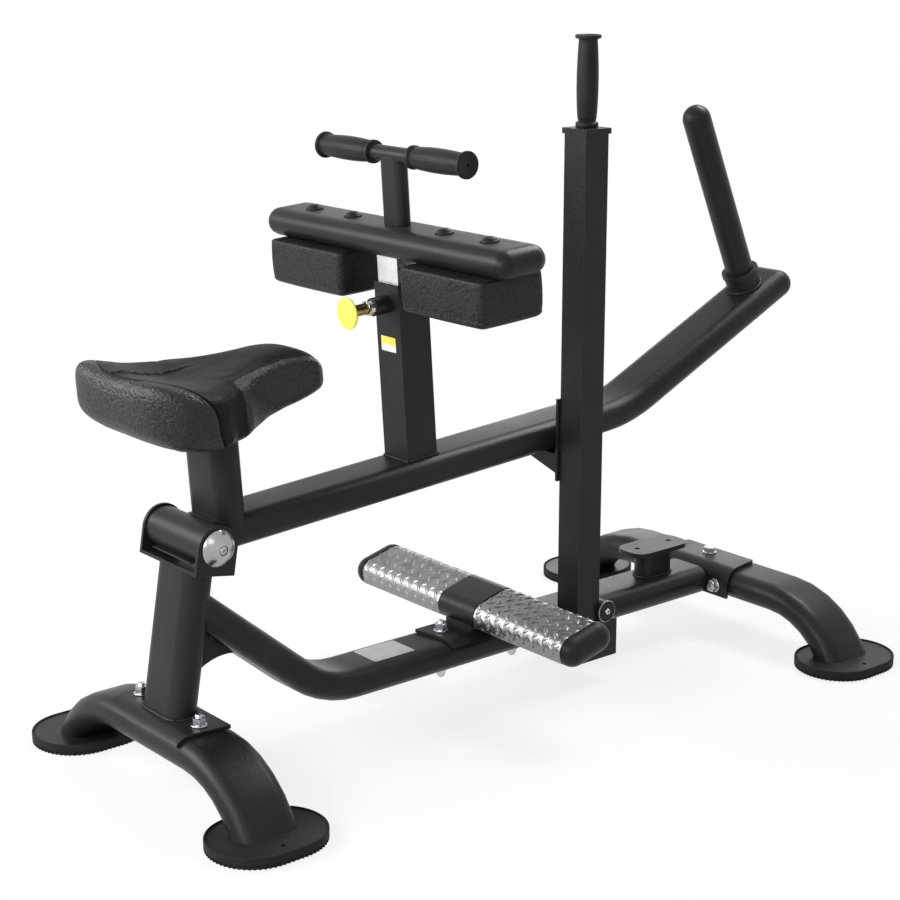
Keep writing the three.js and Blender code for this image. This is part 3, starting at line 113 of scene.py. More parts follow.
def floor_material():
    """Matt white that turns into a plain white glow away from the machine."""
    material = bpy.data.materials.new("studio_floor")
    material.use_nodes = True
    tree = material.node_tree
    tree.nodes.clear()
    matte = add_node(tree, "ShaderNodeBsdfDiffuse", {"Color": FLOOR_COLOUR})
    glow = add_node(tree, "ShaderNodeEmission")
    where = add_node(tree, "ShaderNodeTexCoord").outputs["Object"]
    away = add_node(tree, "ShaderNodeVectorMath", {0: where}, operation="LENGTH").outputs["Value"]
    fading = spread(tree, away, *FLOOR_FADE, FLOOR_GLOW, 1.0, "SMOOTHSTEP")
    share = reckoned(tree, "MULTIPLY", fading, seen_white(tree))
    mixed = add_node(tree, "ShaderNodeMixShader", {"Fac": share, 1: matte.outputs[0], 2: glow.outputs[0]})
    add_node(tree, "ShaderNodeOutputMaterial", {"Surface": mixed.outputs[0]})
    return material


def add_object(name, data, place=(0, 0, 0), turn=(0, 0, 0)):
    """An object in the scene."""
    thing = bpy.data.objects.new(name, data)
    thing.location = place
    thing.rotation_euler = turn
    bpy.context.scene.collection.objects.link(thing)
    return thing


def studio():
    """The floor, the white surroundings, the lamps and the camera."""
    mesh = bpy.data.meshes.new("floor")
    corners = [(x * FLOOR_REACH, y * FLOOR_REACH, 0) for x, y in ((-1, -1), (1, -1), (1, 1), (-1, 1))]
    mesh.from_pydata(corners, [], [(0, 1, 2, 3)])
    mesh.materials.append(floor_material())
    floor = add_object("floor", mesh)
    world = bpy.data.worlds.new("studio")
    world.use_nodes = True
    tree = world.node_tree
    background = tree.nodes["Background"]
    background.inputs["Color"].default_value = (1, 1, 1, 1)
    feed(tree, background.inputs["Strength"], spread(tree, seen_white(tree), 0, 1, WORLD_LIGHT))
    bpy.context.scene.world = world
    for name, (place, target, width, height, power) in LAMPS.items():
        lamp = bpy.data.lights.new(name, "AREA")
        lamp.shape = "RECTANGLE"
        lamp.size, lamp.size_y, lamp.energy = width, height, power
        aim = Vector(target) - Vector(place)
        add_object(name, lamp, place, aim.to_track_quat("-Z", "Y").to_euler())
    camera = bpy.data.cameras.new("camera")
    camera.lens, camera.sensor_width, camera.clip_end = CAMERA_LENS, CAMERA_SENSOR, CAMERA_REACH
    bpy.context.scene.camera = add_object("camera", camera, CAMERA_PLACE, CAMERA_TURN)
    bpy.context.scene.view_settings.view_transform = "Standard"


studio()


# The frame tubes and their black coat
# Flat oval steel tubes, bent, welded and sprayed with a satin black powder coat. The coat has a
# fine orange peel and is a little smoother in places, and a painted highlight greys its corners.
COAT_COLOURS = ((0.0095, 0.0095, 0.0098, 1), (0.016, 0.016, 0.0163, 1))
# The grey laid over the coat's corners is a painted highlight.
COAT_EDGE_HIGHLIGHT = (0.045, 0.045, 0.046, 1)
CORNER_ROUNDING = 0.0008
CORNER_LIMIT = radians(34)
SMOOTH_LIMIT = radians(32)
FLAT_LIMIT = radians(1)
WELD_DISTANCE = 0.00001


def shader_group(name, effect, **inputs):
    """A node group of an effect, with its number inputs and the named numbers that it returns."""
    tree = bpy.data.node_groups.new(name, "ShaderNodeTree")
    for label, value in inputs.items():
        socket = tree.interface.new_socket(label, in_out="INPUT", socket_type="NodeSocketFloat")
        socket.default_value = value
    outputs = effect(tree, add_node(tree, "NodeGroupInput").outputs)
    for label in outputs:
        tree.interface.new_socket(label, in_out="OUTPUT", socket_type="NodeSocketFloat")
    add_node(tree, "NodeGroupOutput", outputs)
    return tree


def noise_at(tree, scale, detail, roughness, vector=None):
    """A noise texture in the piece's own metres."""
    if vector is None:
        vector = add_node(tree, "ShaderNodeTexCoord").outputs["Object"]
    return add_node(tree, "ShaderNodeTexNoise", {
        "Vector": vector, "Scale": scale, "Detail": detail, "Roughness": roughness}).outputs["Fac"]


def mottle(tree, given):
    """Slow patches, from 0 to 1."""
    return spread(tree, noise_at(tree, given["mottle_scale"], 4.0, 0.6), 0.3, 0.7)


def peel_effect(tree, given):
    """Orange peel: a fine height for bump, and a slow mottle for colour and gloss."""
    return {"Height": noise_at(tree, given["peel_scale"], 2.0, 0.6), "Mottle": mottle(tree, given)}


def edge_highlight_effect(tree, given):
    """Painted edge highlight: 1 where the surface turns sharply, broken up by a noise."""
    rounded = add_node(tree, "ShaderNodeBevel", {"Radius": given["reach"]}, samples=4)
    flat = add_node(tree, "ShaderNodeNewGeometry")
    alike = add_node(tree, "ShaderNodeVectorMath", {
        0: rounded.outputs["Normal"], 1: flat.outputs["Normal"]}, operation="DOT_PRODUCT")
    edge = spread(tree, alike.outputs["Value"], 0.995, 0.93)
    broken = spread(tree, noise_at(tree, given["break_scale"], 3.0, 0.5), 0.35, 0.65)
    return {"Wear": reckoned(tree, "MULTIPLY", edge, broken, clamp=True)}


orange_peel = shader_group("orange_peel", peel_effect, peel_scale=420.0, mottle_scale=9.0)
painted_edge_highlight = shader_group("painted_edge_highlight", edge_highlight_effect, reach=0.0016, break_scale=90.0)


def blended(tree, share, first, second):
    """A colour between two, by a value."""
    return add_node(tree, "ShaderNodeMix", {"Factor": share, "A": first, "B": second},
                    data_type="RGBA").outputs["Result"]


def surface(name, group, colours, roughness, bump, specular=0.5, metallic=0.0,
            follow=("Mottle", "Mottle", "Height"), overlay=None, **scales):
    """A material that follows the outputs of a node group.

    The first output blends the two colours, the second spreads the roughness and the third is the
    bump, which has a distance and a strength. An overlay is a group, its output and the colour that
    the output lays over the rest.
    """
    material = bpy.data.materials.new(name)
    material.use_nodes = True
    tree = material.node_tree
    effect = add_node(tree, "ShaderNodeGroup", scales, node_tree=group)
    tint, gloss, relief = (effect.outputs[label] for label in follow)
    colour = blended(tree, tint, *colours)
    if overlay:
        over, output, over_colour = overlay
        source = effect if over == group else add_node(tree, "ShaderNodeGroup", node_tree=over)
        colour = blended(tree, source.outputs[output], colour, over_colour)
    raised = add_node(tree, "ShaderNodeBump", {"Height": relief, "Distance": bump[0], "Strength": bump[1]})
    for label, value in (("Base Color", colour), ("Roughness", spread(tree, gloss, 0, 1, *roughness)),
                         ("Normal", raised.outputs["Normal"]), ("Metallic", metallic),
                         ("Specular IOR Level", specular)):
        feed(tree, tree.nodes["Principled BSDF"].inputs[label], value)
    return material


# The coat carries a painted highlight in grey along its corners.
black_coat = surface("satin_black_coat", orange_peel, COAT_COLOURS, roughness=(0.32, 0.41),
                     bump=(0.0005, 0.6), specular=0.17, overlay=(painted_edge_highlight, "Wear", COAT_EDGE_HIGHLIGHT))


def smoothing_group():
    """Smooth shading over gentle facets, with edges kept where the surface turns sharply."""
    tree = bpy.data.node_groups.new("smooth_over_facets", "GeometryNodeTree")
    for way in ("INPUT", "OUTPUT"):
        tree.interface.new_socket("Geometry", in_out=way, socket_type="NodeSocketGeometry")
    enter = add_node(tree, "NodeGroupInput")
    plain = add_node(tree, "GeometryNodeRemoveAttribute", {
        "Geometry": enter.outputs[0], "Name": "custom_normal"})
    faces = add_node(tree, "GeometryNodeSetShadeSmooth", {"Geometry": plain.outputs[0]}, domain="FACE")
    turn = add_node(tree, "GeometryNodeInputMeshEdgeAngle")
    sharp = add_node(tree, "FunctionNodeCompare", {
        "A": turn.outputs["Unsigned Angle"], "B": SMOOTH_LIMIT},
        data_type="FLOAT", operation="GREATER_THAN")
    edges = add_node(tree, "GeometryNodeSetShadeSmooth", {
        "Geometry": faces.outputs[0], "Selection": sharp.outputs["Result"], "Shade Smooth": False},
        domain="EDGE")
    add_node(tree, "NodeGroupOutput", {0: edges.outputs[0]})
    return tree


smooth_over_facets = smoothing_group()


def finish_node(name, finish, rounding=CORNER_ROUNDING):
    """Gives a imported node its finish, with softly rounded corners."""
    piece = nodes[name]
    piece.data.materials.clear()
    piece.data.materials.append(finish)
    work = [("weld", "WELD", {"merge_threshold": WELD_DISTANCE}),
            ("flatten", "DECIMATE", {"decimate_type": "DISSOLVE", "angle_limit": FLAT_LIMIT}),
            ("corners", "BEVEL", {"width": rounding, "segments": 2, "limit_method": "ANGLE",
                                  "angle_limit": CORNER_LIMIT, "use_clamp_overlap": True}),
            ("smooth", "NODES", {"node_group": smooth_over_facets}),
            ("level_faces", "WEIGHTED_NORMAL", {"keep_sharp": True})]
    for label, kind, settings in work:
        if rounding or kind != "BEVEL":
            modifier = piece.modifiers.new(label, kind)
            for setting, value in settings.items():
                setattr(modifier, setting, value)


def coat(*names):
    """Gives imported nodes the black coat."""
    for name in names:
        finish_node(name, black_coat)


# The front and rear stabilisers
# Each is one flat oval tube bent down at both ends, with an oval steel foot plate welded under each
# leg, all under the black coat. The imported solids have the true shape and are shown.
coat("front_stabiliser", "rear_stabiliser")


# The rubber shoes
# A black moulded rubber dish is pressed round each foot plate. Its lower edge is cut into small
# teeth that grip the floor, and its upper lip is rounded over the plate.
SHOE_RIM = 0.004
SHOE_LIP = 0.0018
SHOE_FLOOR = 0.0093
SHOE_TOOTH_PITCH = 0.0076
SHOE_TOOTH_DEPTH = 0.0026
SHOE_TOOTH_HEIGHT = 0.0062
SHOE_FACETS_PER_TOOTH = 6
RUBBER_COLOURS = ((0.011, 0.011, 0.0113, 1), (0.019, 0.019, 0.019, 1))


def skin(rings, loop=False):
    """Points and faces over a row of rings, closed at both ends unless the row is a loop."""
    rows, count = len(rings), len(rings[0])
    faces = []
    for row in range(rows if loop else rows - 1):
        near, far = row * count, (row + 1) % rows * count
        for step in range(count):
            after = (step + 1) % count
            faces.append((near + step, near + after, far + after, far + step))
    if not loop:
        faces += [tuple(reversed(range(count))), tuple(range((rows - 1) * count, rows * count))]
    return [tuple(point) for ring in rings for point in ring], faces


def moved(lump, matrix):
    """Points and faces, with the points moved."""
    points, faces = lump
    return [tuple(matrix @ Vector(point)) for point in points], faces


def make_piece(name, lump, finish, body, stands_for=(), crease=34):
    """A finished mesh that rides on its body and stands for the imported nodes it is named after."""
    mesh = bpy.data.meshes.new(name)
    mesh.from_pydata(lump[0], [], lump[1])
    shape = bmesh.new()
    shape.from_mesh(mesh)
    bmesh.ops.recalc_face_normals(shape, faces=shape.faces)
    shape.to_mesh(mesh)
    shape.free()
    mesh.shade_smooth()
    mesh.set_sharp_from_angle(angle=radians(crease))
    mesh.materials.append(finish)
    piece = add_object(name, mesh)
    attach(piece, body)
    if stands_for:
        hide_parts(*stands_for)
    return piece


def walk(start, heading, legs, count):
    """The run, the place and the heading at even steps along legs, without their far end.

    A leg has a length and the radius of its turn, 0 if it is straight and below 0 to the right.
    """
    stops = []
    for step in range(count):
        run = left_over = sum(length for length, _ in legs) * step / count
        place, ahead = Vector(start), Vector(heading)
        for length, radius in legs:
            part = min(left_over, length)
            if radius:
                angle = part / radius
                left = Vector((-ahead.y, ahead.x))
                place += radius * (sin(angle) * ahead + (1 - cos(angle)) * left)
                ahead = cos(angle) * ahead + sin(angle) * left
            else:
                place += part * ahead
            left_over -= part
            if left_over <= 0:
                break
        stops.append((run, place, ahead))
    return stops


def stadium(width, depth, insets):
    """Evenly spaced points of an oval with straight sides, each drawn in by its own inset."""
    straight, radius = width - depth, depth / 2
    stops = walk((straight / 2, radius), (-1, 0), [(straight, 0), (pi * radius, radius)] * 2, len(insets))
    return [(place.x - inset * ahead.y, place.y + inset * ahead.x)
            for inset, (_, place, ahead) in zip(insets, stops)]


def rubber_material(name, roughness, bump):
    """Black moulded rubber, matt, with a fine mould texture."""
    return surface(name, orange_peel, RUBBER_COLOURS, (roughness - 0.06, roughness + 0.08),
                   (bump, 0.5), specular=0.12, peel_scale=700.0, mottle_scale=24.0)


shoe_rubber = rubber_material("shoe_rubber", 0.68, 0.0004)


def rubber_shoe(node):
    """A dish with a toothed lower edge and a rounded upper lip."""
    low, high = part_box(node)
    width, depth, top = high.x - low.x, high.y - low.y, high.z
    teeth = round((2 * (width - depth) + pi * depth) / SHOE_TOOTH_PITCH)
    turns = [2 * pi * step / SHOE_FACETS_PER_TOOTH for step in range(teeth * SHOE_FACETS_PER_TOOTH)]
    cuts = [SHOE_TOOTH_DEPTH * (0.5 + 0.5 * cos(turn)) ** 0.6 for turn in turns]
    rows = [(SHOE_RIM * 3, 0.0, 0), (SHOE_RIM / 2, 0.0, 1), (0.0004, 0.0005, 1),
            (0.0, SHOE_TOOTH_HEIGHT, 1), (0.0003, SHOE_TOOTH_HEIGHT + 0.0008, 0), (0.0, top * 0.6, 0),
            (0.0, top - SHOE_LIP, 0), (SHOE_LIP * 0.3, top - SHOE_LIP * 0.3, 0), (SHOE_LIP, top, 0),
            (SHOE_RIM - SHOE_LIP * 0.6, top, 0), (SHOE_RIM, top - SHOE_LIP * 0.6, 0),
            (SHOE_RIM, SHOE_FLOOR, 0)]
    rings = []
    for drawn, height, toothed in rows:
        outline = stadium(width, depth, [drawn + toothed * cut for cut in cuts])
        rings.append([(x, y, height) for x, y in outline])
    middle = Matrix.Translation(((low.x + high.x) / 2, (low.y + high.y) / 2, 0))
    make_piece(f"{node}_moulding", moved(skin(rings), middle), shoe_rubber, "base", [node])


for shoe in ("front_near", "front_far", "rear_near", "rear_far"):
    rubber_shoe(f"rubber_shoe_{shoe}")


# The saddles and their bolts
# A bent steel plate sits over each stabiliser, black like the tubes. Zinc plated bolts go right
# through plate and tube, with a washer and a chamfered hexagon nut at each end. The lower nuts of
# the step's bolts are domed.
LEAST_RADIUS = 0.00002
NUT_FLAT = 0.0105 * cos(pi / 6)
NUT_CHAMFER_CIRCLE = NUT_FLAT * 0.985
NUT_CHAMFER_SLOPE = tan(radians(28))
NUT_HEIGHT = 0.009
NUT_FACETS = 60
NUT_LEAST_DROP = 0.00015
LOW_NUT_HEIGHT = 0.0081
CAP_NUT_HEIGHT = 0.012
NUT_GROWTH = 0.36
# The dome of a cap nut: radius, and share of its height.
CAP_NUT_PROFILE = [(0, 0), (0.0028, 0.03), (0.0052, 0.17), (0.007, 0.4), (0.0079, 0.68), (0.0082, 1.02),
                   (0, 1.02)]
WASHER_RADIUS = 0.0125
WASHER_THICKNESS = 0.002
WASHER_EDGE = 0.00044
STUD_RADIUS = 0.006
THREAD_PITCH = 0.00175
THREAD_DEPTH = 0.0006
ZINC_COLOURS = ((0.36, 0.37, 0.39, 1), (0.62, 0.63, 0.64, 1))
# Each bolt's axis, the rise of its stud over the nut and its tail under the washer's seat.
BOLTS = {
    "front_saddle_bolt_near": ("Z", 0.007, 0.026), "front_saddle_bolt_far": ("Z", 0.007, 0.026),
    "rear_saddle_bolt_top": ("Z", 0.001, 0.012),
    "rear_saddle_bolt_near": ("X", 0.001, 0.012), "rear_saddle_bolt_far": ("X", 0.001, 0.012),
}


def gathered(*lumps):
    """Several lots of points and faces as one."""
    points, faces = [], []
    for lump_points, lump_faces in lumps:
        faces += [tuple(len(points) + index for index in face) for face in lump_faces]
        points += lump_points
    return points, faces


def all_round(count):
    """Evenly spaced angles of a full turn."""
    return [2 * pi * step / count for step in range(count)]


def swept(profile_at, facets, loop=False):
    """Points and faces of a profile of (radius, height) that may change as it turns about Z."""
    columns = [[(radius * cos(angle), radius * sin(angle), height)
                for radius, height in profile_at(angle)] for angle in all_round(facets)]
    return skin(list(zip(*columns)), loop)


def turned(profile, facets=48, loop=False):
    """Points and faces of a profile of (radius, height) turned about Z."""
    solid = [(max(radius, LEAST_RADIUS), height) for radius, height in profile]
    return swept(lambda angle: solid, facets, loop)


def hexagon_nut(height, low):
    """A nut with its corners chamfered at both faces."""
    bore, circle = STUD_RADIUS - THREAD_DEPTH, NUT_CHAMFER_CIRCLE
    top = low + height

    def profile_at(angle):
        corner = NUT_FLAT / cos((angle + pi / 6) % (pi / 3) - pi / 6)
        drop = max(NUT_LEAST_DROP, (corner - circle) * NUT_CHAMFER_SLOPE)
        return ((bore, low), (circle, low), (corner, low + drop), (corner, top - drop), (circle, top),
                (bore * 1.12, top), (bore, top - 0.0008))

    return swept(profile_at, NUT_FACETS, loop=True)


def washer(low):
    """A flat washer with softened edges."""
    edge, thick = WASHER_EDGE, WASHER_THICKNESS
    profile = ((STUD_RADIUS + 0.0004, 0), (WASHER_RADIUS - edge, 0), (WASHER_RADIUS, edge),
               (WASHER_RADIUS, thick - edge), (WASHER_RADIUS - edge, thick), (STUD_RADIUS + 0.0004, thick))
    return turned([(radius, low + height) for radius, height in profile], loop=True)


def threaded_rod(low, high):
    """A rod with threads cut close to both ends."""
    root, end = STUD_RADIUS - THREAD_DEPTH, STUD_RADIUS - 2 * THREAD_DEPTH
    profile = [(0, low), (end, low), (root, low + THREAD_DEPTH)]
    for turn in range(1, int((high - low) / THREAD_PITCH)):
        height = low + turn * THREAD_PITCH
        profile += [(root, height - THREAD_PITCH * 0.3), (STUD_RADIUS, height)]
    return turned(profile + [(root, high - THREAD_DEPTH), (end, high), (0, high)], 32)


def scuff_effect(tree, given):
    """Fine scratches and cloudy patches of a bare metal finish."""
    where = add_node(tree, "ShaderNodeTexCoord").outputs["Object"]
    stretched = add_node(tree, "ShaderNodeMapping", {"Vector": where, "Scale": (1.0, 0.12, 6.0)})
    fine = noise_at(tree, given["scratch_scale"], 4.0, 0.7, stretched.outputs["Vector"])
    slow = noise_at(tree, given["cloud_scale"], 4.0, 0.6)
    return {"Cloud": spread(tree, slow, 0.32, 0.68), "Scratch": spread(tree, fine, 0.3, 0.7)}


metal_scuffs = shader_group("metal_scuffs", scuff_effect, scratch_scale=160.0, cloud_scale=40.0)


def metal_material(name, colours, roughness, scratch_scale=160.0, cloud_scale=40.0, bump=0.00004,
                   overlay=None):
    """Bare or plated metal, clouded and finely scratched."""
    return surface(name, metal_scuffs, colours, roughness, (bump, 0.5), metallic=1.0, overlay=overlay,
                   follow=("Cloud", "Scratch", "Scratch"), scratch_scale=scratch_scale,
                   cloud_scale=cloud_scale)


zinc_steel = metal_material("zinc_steel", ZINC_COLOURS, (0.2, 0.38))


def through_bolt(node, axis, stud_rise, tail, capped=False):
    """Washers, nuts and the threaded ends of a bolt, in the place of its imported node."""
    low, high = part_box(node)
    middle = (low + high) / 2
    if axis == "Z":
        upright = Matrix.Translation((middle.x, middle.y, 0))
        bottom, top = low.z, high.z
    else:
        upright = Matrix.Translation((0, middle.y, middle.z)) @ Matrix.Rotation(-pi / 2, 4, "Y")
        bottom, top = -high.x, -low.x
    low_height = CAP_NUT_HEIGHT if capped else LOW_NUT_HEIGHT
    dome = tail - WASHER_THICKNESS - low_height
    seat = top - stud_rise - NUT_HEIGHT
    turn = Matrix.Rotation(random.Random(node).uniform(0, 1), 4, "Z")
    parts = [threaded_rod(bottom + (0.6 * dome if capped else 0), top)]
    if capped:
        parts.append(turned([(radius, bottom + share * dome) for radius, share in CAP_NUT_PROFILE]))
    parts += [moved(hexagon_nut(NUT_HEIGHT + NUT_GROWTH * stud_rise, seat), turn),
              moved(hexagon_nut(low_height, bottom + dome), turn),
              washer(seat - WASHER_THICKNESS), washer(bottom + tail - WASHER_THICKNESS)]
    make_piece(f"{node}_set", moved(gathered(*parts), upright), zinc_steel, "base", [node])


coat("front_saddle", "rear_saddle")
for node, (axis, stud_rise, tail) in BOLTS.items():
    through_bolt(node, axis, stud_rise, tail)


# The base post, the base tube and their gusset
# The post leans back from its saddle and carries the pivot. The base tube is welded to its side,
# slopes down and runs level to the rear. A small curved web stiffens the corner between them.
POST_LEAN = radians(9.8)
POST_SIZE = (0.104, 0.05)
POST_FOOT = (-0.6253, 0, 0.1247)
POST_HEAD_DROP = 0.0424
PIVOT = (-0.57979, 0.0, 0.388)
WELD_RADIUS = 0.0032
WELD_PITCH = 0.0042
WELD_SIDES = 8
LABEL_PLACE = (-0.2588, -0.0315, 0.11804)
LABEL_LENGTH = 0.082
LABEL_WIDTH = 0.0605
LABEL_THICKNESS = 0.00025
LABEL_COLOURS = ((0.52, 0.52, 0.51, 1), (0.42, 0.42, 0.415, 1))


def weld_round(name, outline, matrix, body):
    """A closed weld bead round the foot of a tube, lapping like scales, under the coat."""
    corners = [Vector((x, y, 0)) for x, y in outline]
    path = []
    for start, end in zip(corners, corners[1:] + corners[:1]):
        count = max(1, round((end - start).length / (WELD_PITCH / 4)))
        path += [start.lerp(end, step / count) for step in range(count)]
    rings = []
    travelled = 0.0
    for index, place in enumerate(path):
        travelled += (place - path[index - 1]).length if index else 0
        along = (path[(index + 1) % len(path)] - path[index - 1]).normalized()
        side = along.orthogonal().normalized()
        swell = 0.82 + 0.28 * (travelled / WELD_PITCH % 1) + 0.12 * noise.noise(place * 180)
        up = along.cross(side)
        rings.append([place + WELD_RADIUS * swell * (cos(angle) * side + sin(angle) * up)
                      for angle in all_round(WELD_SIDES)])
    make_piece(name, moved(skin(rings, loop=True), matrix), black_coat, body, (), 70)


coat("base_post", "base_tube", "post_gusset")
post_outline = [(y, x) for x, y in stadium(*POST_SIZE, [0] * 80)]
foot_outline = [(x / cos(POST_LEAN), y) for x, y in post_outline]
weld_round("weld_post_foot", foot_outline, Matrix.Translation(POST_FOOT), "base")
post_head = Matrix.Translation(PIVOT) @ Matrix.Rotation(POST_LEAN, 4, "Y")
weld_round("weld_post_head", post_outline, post_head @ Matrix.Translation((0, 0, -POST_HEAD_DROP)), "base")


def paper(name, colours, roughness, mottle_scale):
    """Plain label film, a little uneven."""
    return surface(name, orange_peel, colours, roughness, bump=(0.0001, 0.3), specular=0.4,
                   peel_scale=900.0, mottle_scale=mottle_scale)


def rounded_rectangle(half_x, half_y, corner, steps, drawn=0.0):
    """Points of a rectangle with round corners, drawn in by a distance."""
    points = []
    for side_x, side_y, start in ((1, 1, 0), (-1, 1, 90), (-1, -1, 180), (1, -1, 270)):
        for step in range(steps + 1):
            angle = radians(start + 90 * step / steps)
            points.append((side_x * (half_x - corner) + (corner - drawn) * cos(angle),
                           side_y * (half_y - corner) + (corner - drawn) * sin(angle)))
    return points


def bare_label(name, width, height, place, finish, body):
    """A blank sticker with rounded corners, from the origin along X and Y before it is placed."""
    outline = rounded_rectangle(width / 2, height / 2, min(width, height) * 0.07, 4)
    rings = [[(width / 2 + x, height / 2 + y, lift) for x, y in outline] for lift in (0, LABEL_THICKNESS)]
    make_piece(name, moved(skin(rings), place), finish, body)


bare_label("base_label", LABEL_LENGTH, LABEL_WIDTH, Matrix.Translation(LABEL_PLACE),
           paper("bare_label", LABEL_COLOURS, (0.4, 0.55), 25.0), "base")


# The pivot
# A bent plate bracket on top of the post holds the axle in two ears. Each end of the axle has a
# polished domed cap with a ring round the screw that holds it on.
CAP_RADIUS = 0.028
CAP_RIM = 0.0015
CAP_DOME = 0.0132
CAP_DOME_STEPS = 14
CAP_RING_RADIUS = 0.0086
# The ring groove, the screw and its socket: radius, and height over the dome's inner edge.
CAP_MIDDLE = [
    (0.0081, -0.0001), (0.0077, -0.0008), (0.0076, -0.0021), (0.0065, -0.0021), (0.006, -0.0018),
    (0.006, -0.0006), (0.00558, 0.0003), (0.0045, 0.0009), (0.00338, 0.0012), (0.0026, 0.001),
    (0.0026, -0.0016), (0, -0.0018),
]
CHROME_COLOURS = ((0.32, 0.32, 0.325, 1), (0.45, 0.45, 0.455, 1))

chrome = metal_material("polished_chrome", CHROME_COLOURS, (0.19, 0.25), 90.0, 30.0, 0.00001)
coat("pivot_bracket")
finish_node("pivot_axle", zinc_steel, 0)


def facing(side):
    """The turn that points Z out to the near side, -1, or to the far side, 1."""
    return Matrix.Rotation(-side * pi / 2, 4, "X")


def pivot_cap(node, side):
    """A domed cap with a ring groove, a button screw and its socket."""
    low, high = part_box(node)
    curve = (CAP_RADIUS ** 2 + CAP_DOME ** 2) / (2 * CAP_DOME)
    profile = [(0, 0), (CAP_RADIUS - 0.0008, 0), (CAP_RADIUS, 0.0005), (CAP_RADIUS, CAP_RIM)]
    for step in range(1, CAP_DOME_STEPS + 1):
        radius = CAP_RADIUS + (CAP_RING_RADIUS - CAP_RADIUS) * step / CAP_DOME_STEPS
        profile.append((radius, CAP_RIM + sqrt(curve ** 2 - radius ** 2) - (curve - CAP_DOME)))
    top = profile[-1][1]
    profile += [(radius, top + height) for radius, height in CAP_MIDDLE]
    middle = (low + high) / 2
    place = Matrix.Translation((middle.x, low.y if side > 0 else high.y, middle.z)) @ facing(side)
    make_piece(f"{node}_dome", moved(turned(profile, 64), place), chrome, "base", [node], 40)


pivot_cap("pivot_cap_near", -1)
pivot_cap("pivot_cap_far", 1)


# The stop post
# A short oval stub welded on the base tube, with a flat plate on top that has two bare holes for
# the screws of a rubber buffer.
STOP_SIZE = (0.076, 0.04)
STOP_FOOT = (0.4032, 0, 0.1184)

coat("stop_post")
stop_outline = stadium(*STOP_SIZE, [0] * 60)
weld_round("weld_stop_foot", stop_outline, Matrix.Translation(STOP_FOOT), "base")


# The step
# A flat oval bar lies across the base tube on a bent plate bracket that two bolts clamp down. Bright
# tread plates are wrapped round its two ends, and black moulded caps close them.
STEP_MIDDLE = (-0.01779, 0.0, 0.157)
STEP_TURN = radians(-14.4)
STEP_PLACE = Matrix.Translation(STEP_MIDDLE) @ Matrix.Rotation(STEP_TURN, 4, "Y")
TREAD_SKIRT = 0.013
TREAD_RADIUS = 0.025
TREAD_FLAT = 0.05
TREAD_INNER = 0.045
TREAD_OUTER = 0.257
TREAD_THICKNESS = 0.002
TREAD_GRID = 0.00125
TREAD_BORDER = 0.002
LENS_LENGTH = 0.019
LENS_WIDTH = 0.0062
LENS_HEIGHT = 0.0015
LENS_PITCH_ALONG = 0.0232
LENS_PITCH_ACROSS = 0.0121
TREAD_COLOURS = ((0.15, 0.15, 0.153, 1), (0.27, 0.27, 0.275, 1))
# The lighter tone along the step's front edge is a painted highlight.
TREAD_HIGHLIGHT_PAINT = (0.29, 0.29, 0.295, 1)
FRONT_HIGHLIGHT_START = 0.022
FRONT_HIGHLIGHT_FULL = 0.04
PLASTIC_COLOURS = ((0.01, 0.01, 0.0105, 1), (0.017, 0.017, 0.018, 1))


def front_highlight_effect(tree, _):
    """1 along the front edge of the step, where a painted highlight lightens the metal."""
    where = add_node(tree, "ShaderNodeTexCoord").outputs["Object"]
    slope = Vector((cos(STEP_TURN), 0, -sin(STEP_TURN)))
    across = add_node(tree, "ShaderNodeVectorMath", {0: where, 1: slope}, operation="DOT_PRODUCT")
    middle = slope.dot(Vector(STEP_MIDDLE))
    return {"Rubbed": spread(tree, across.outputs["Value"], middle - FRONT_HIGHLIGHT_FULL,
                             middle - FRONT_HIGHLIGHT_START, 1, 0)}


painted_front_highlight = shader_group("painted_front_highlight", front_highlight_effect)
# The tread metal carries a painted highlight along its front edge.
tread_metal = metal_material("bright_tread_plate", TREAD_COLOURS, (0.3, 0.44), 120.0, 55.0, 0.00006,
                             overlay=(painted_front_highlight, "Rubbed", TREAD_HIGHLIGHT_PAINT))
coat("step_bracket", "step_bar")
for node in ("step_bolt_front", "step_bolt_rear"):
    through_bolt(node, "Z", 0.007, 0.026, capped=True)


def raised_bar(run, across):
    """The height of the tread's raised bars at a place on the flat sheet. They lie crosswise in turn."""
    height = 0.0
    column = int(run / LENS_PITCH_ALONG * 2)
    row = int(across / LENS_PITCH_ACROSS)
    for near_column in range(column - 1, column + 3):
        for near_row in range(row - 1, row + 3):
            if (near_column + near_row) % 2:
                continue
            slant = radians(45 if near_row % 2 else -45)
            off_run = run - near_column * LENS_PITCH_ALONG / 2
            off_across = across - near_row * LENS_PITCH_ACROSS
            length = off_run * cos(slant) + off_across * sin(slant)
            width = off_across * cos(slant) - off_run * sin(slant)
            reach = (2 * length / LENS_LENGTH) ** 2
            if reach < 1:
                share = abs(2 * width / (LENS_WIDTH * (1 - reach) ** 0.7 + 0.0002))
                if share < 1:
                    height = max(height, LENS_HEIGHT * (1 - reach) ** 0.4 * (1 - share ** 2))
    return height


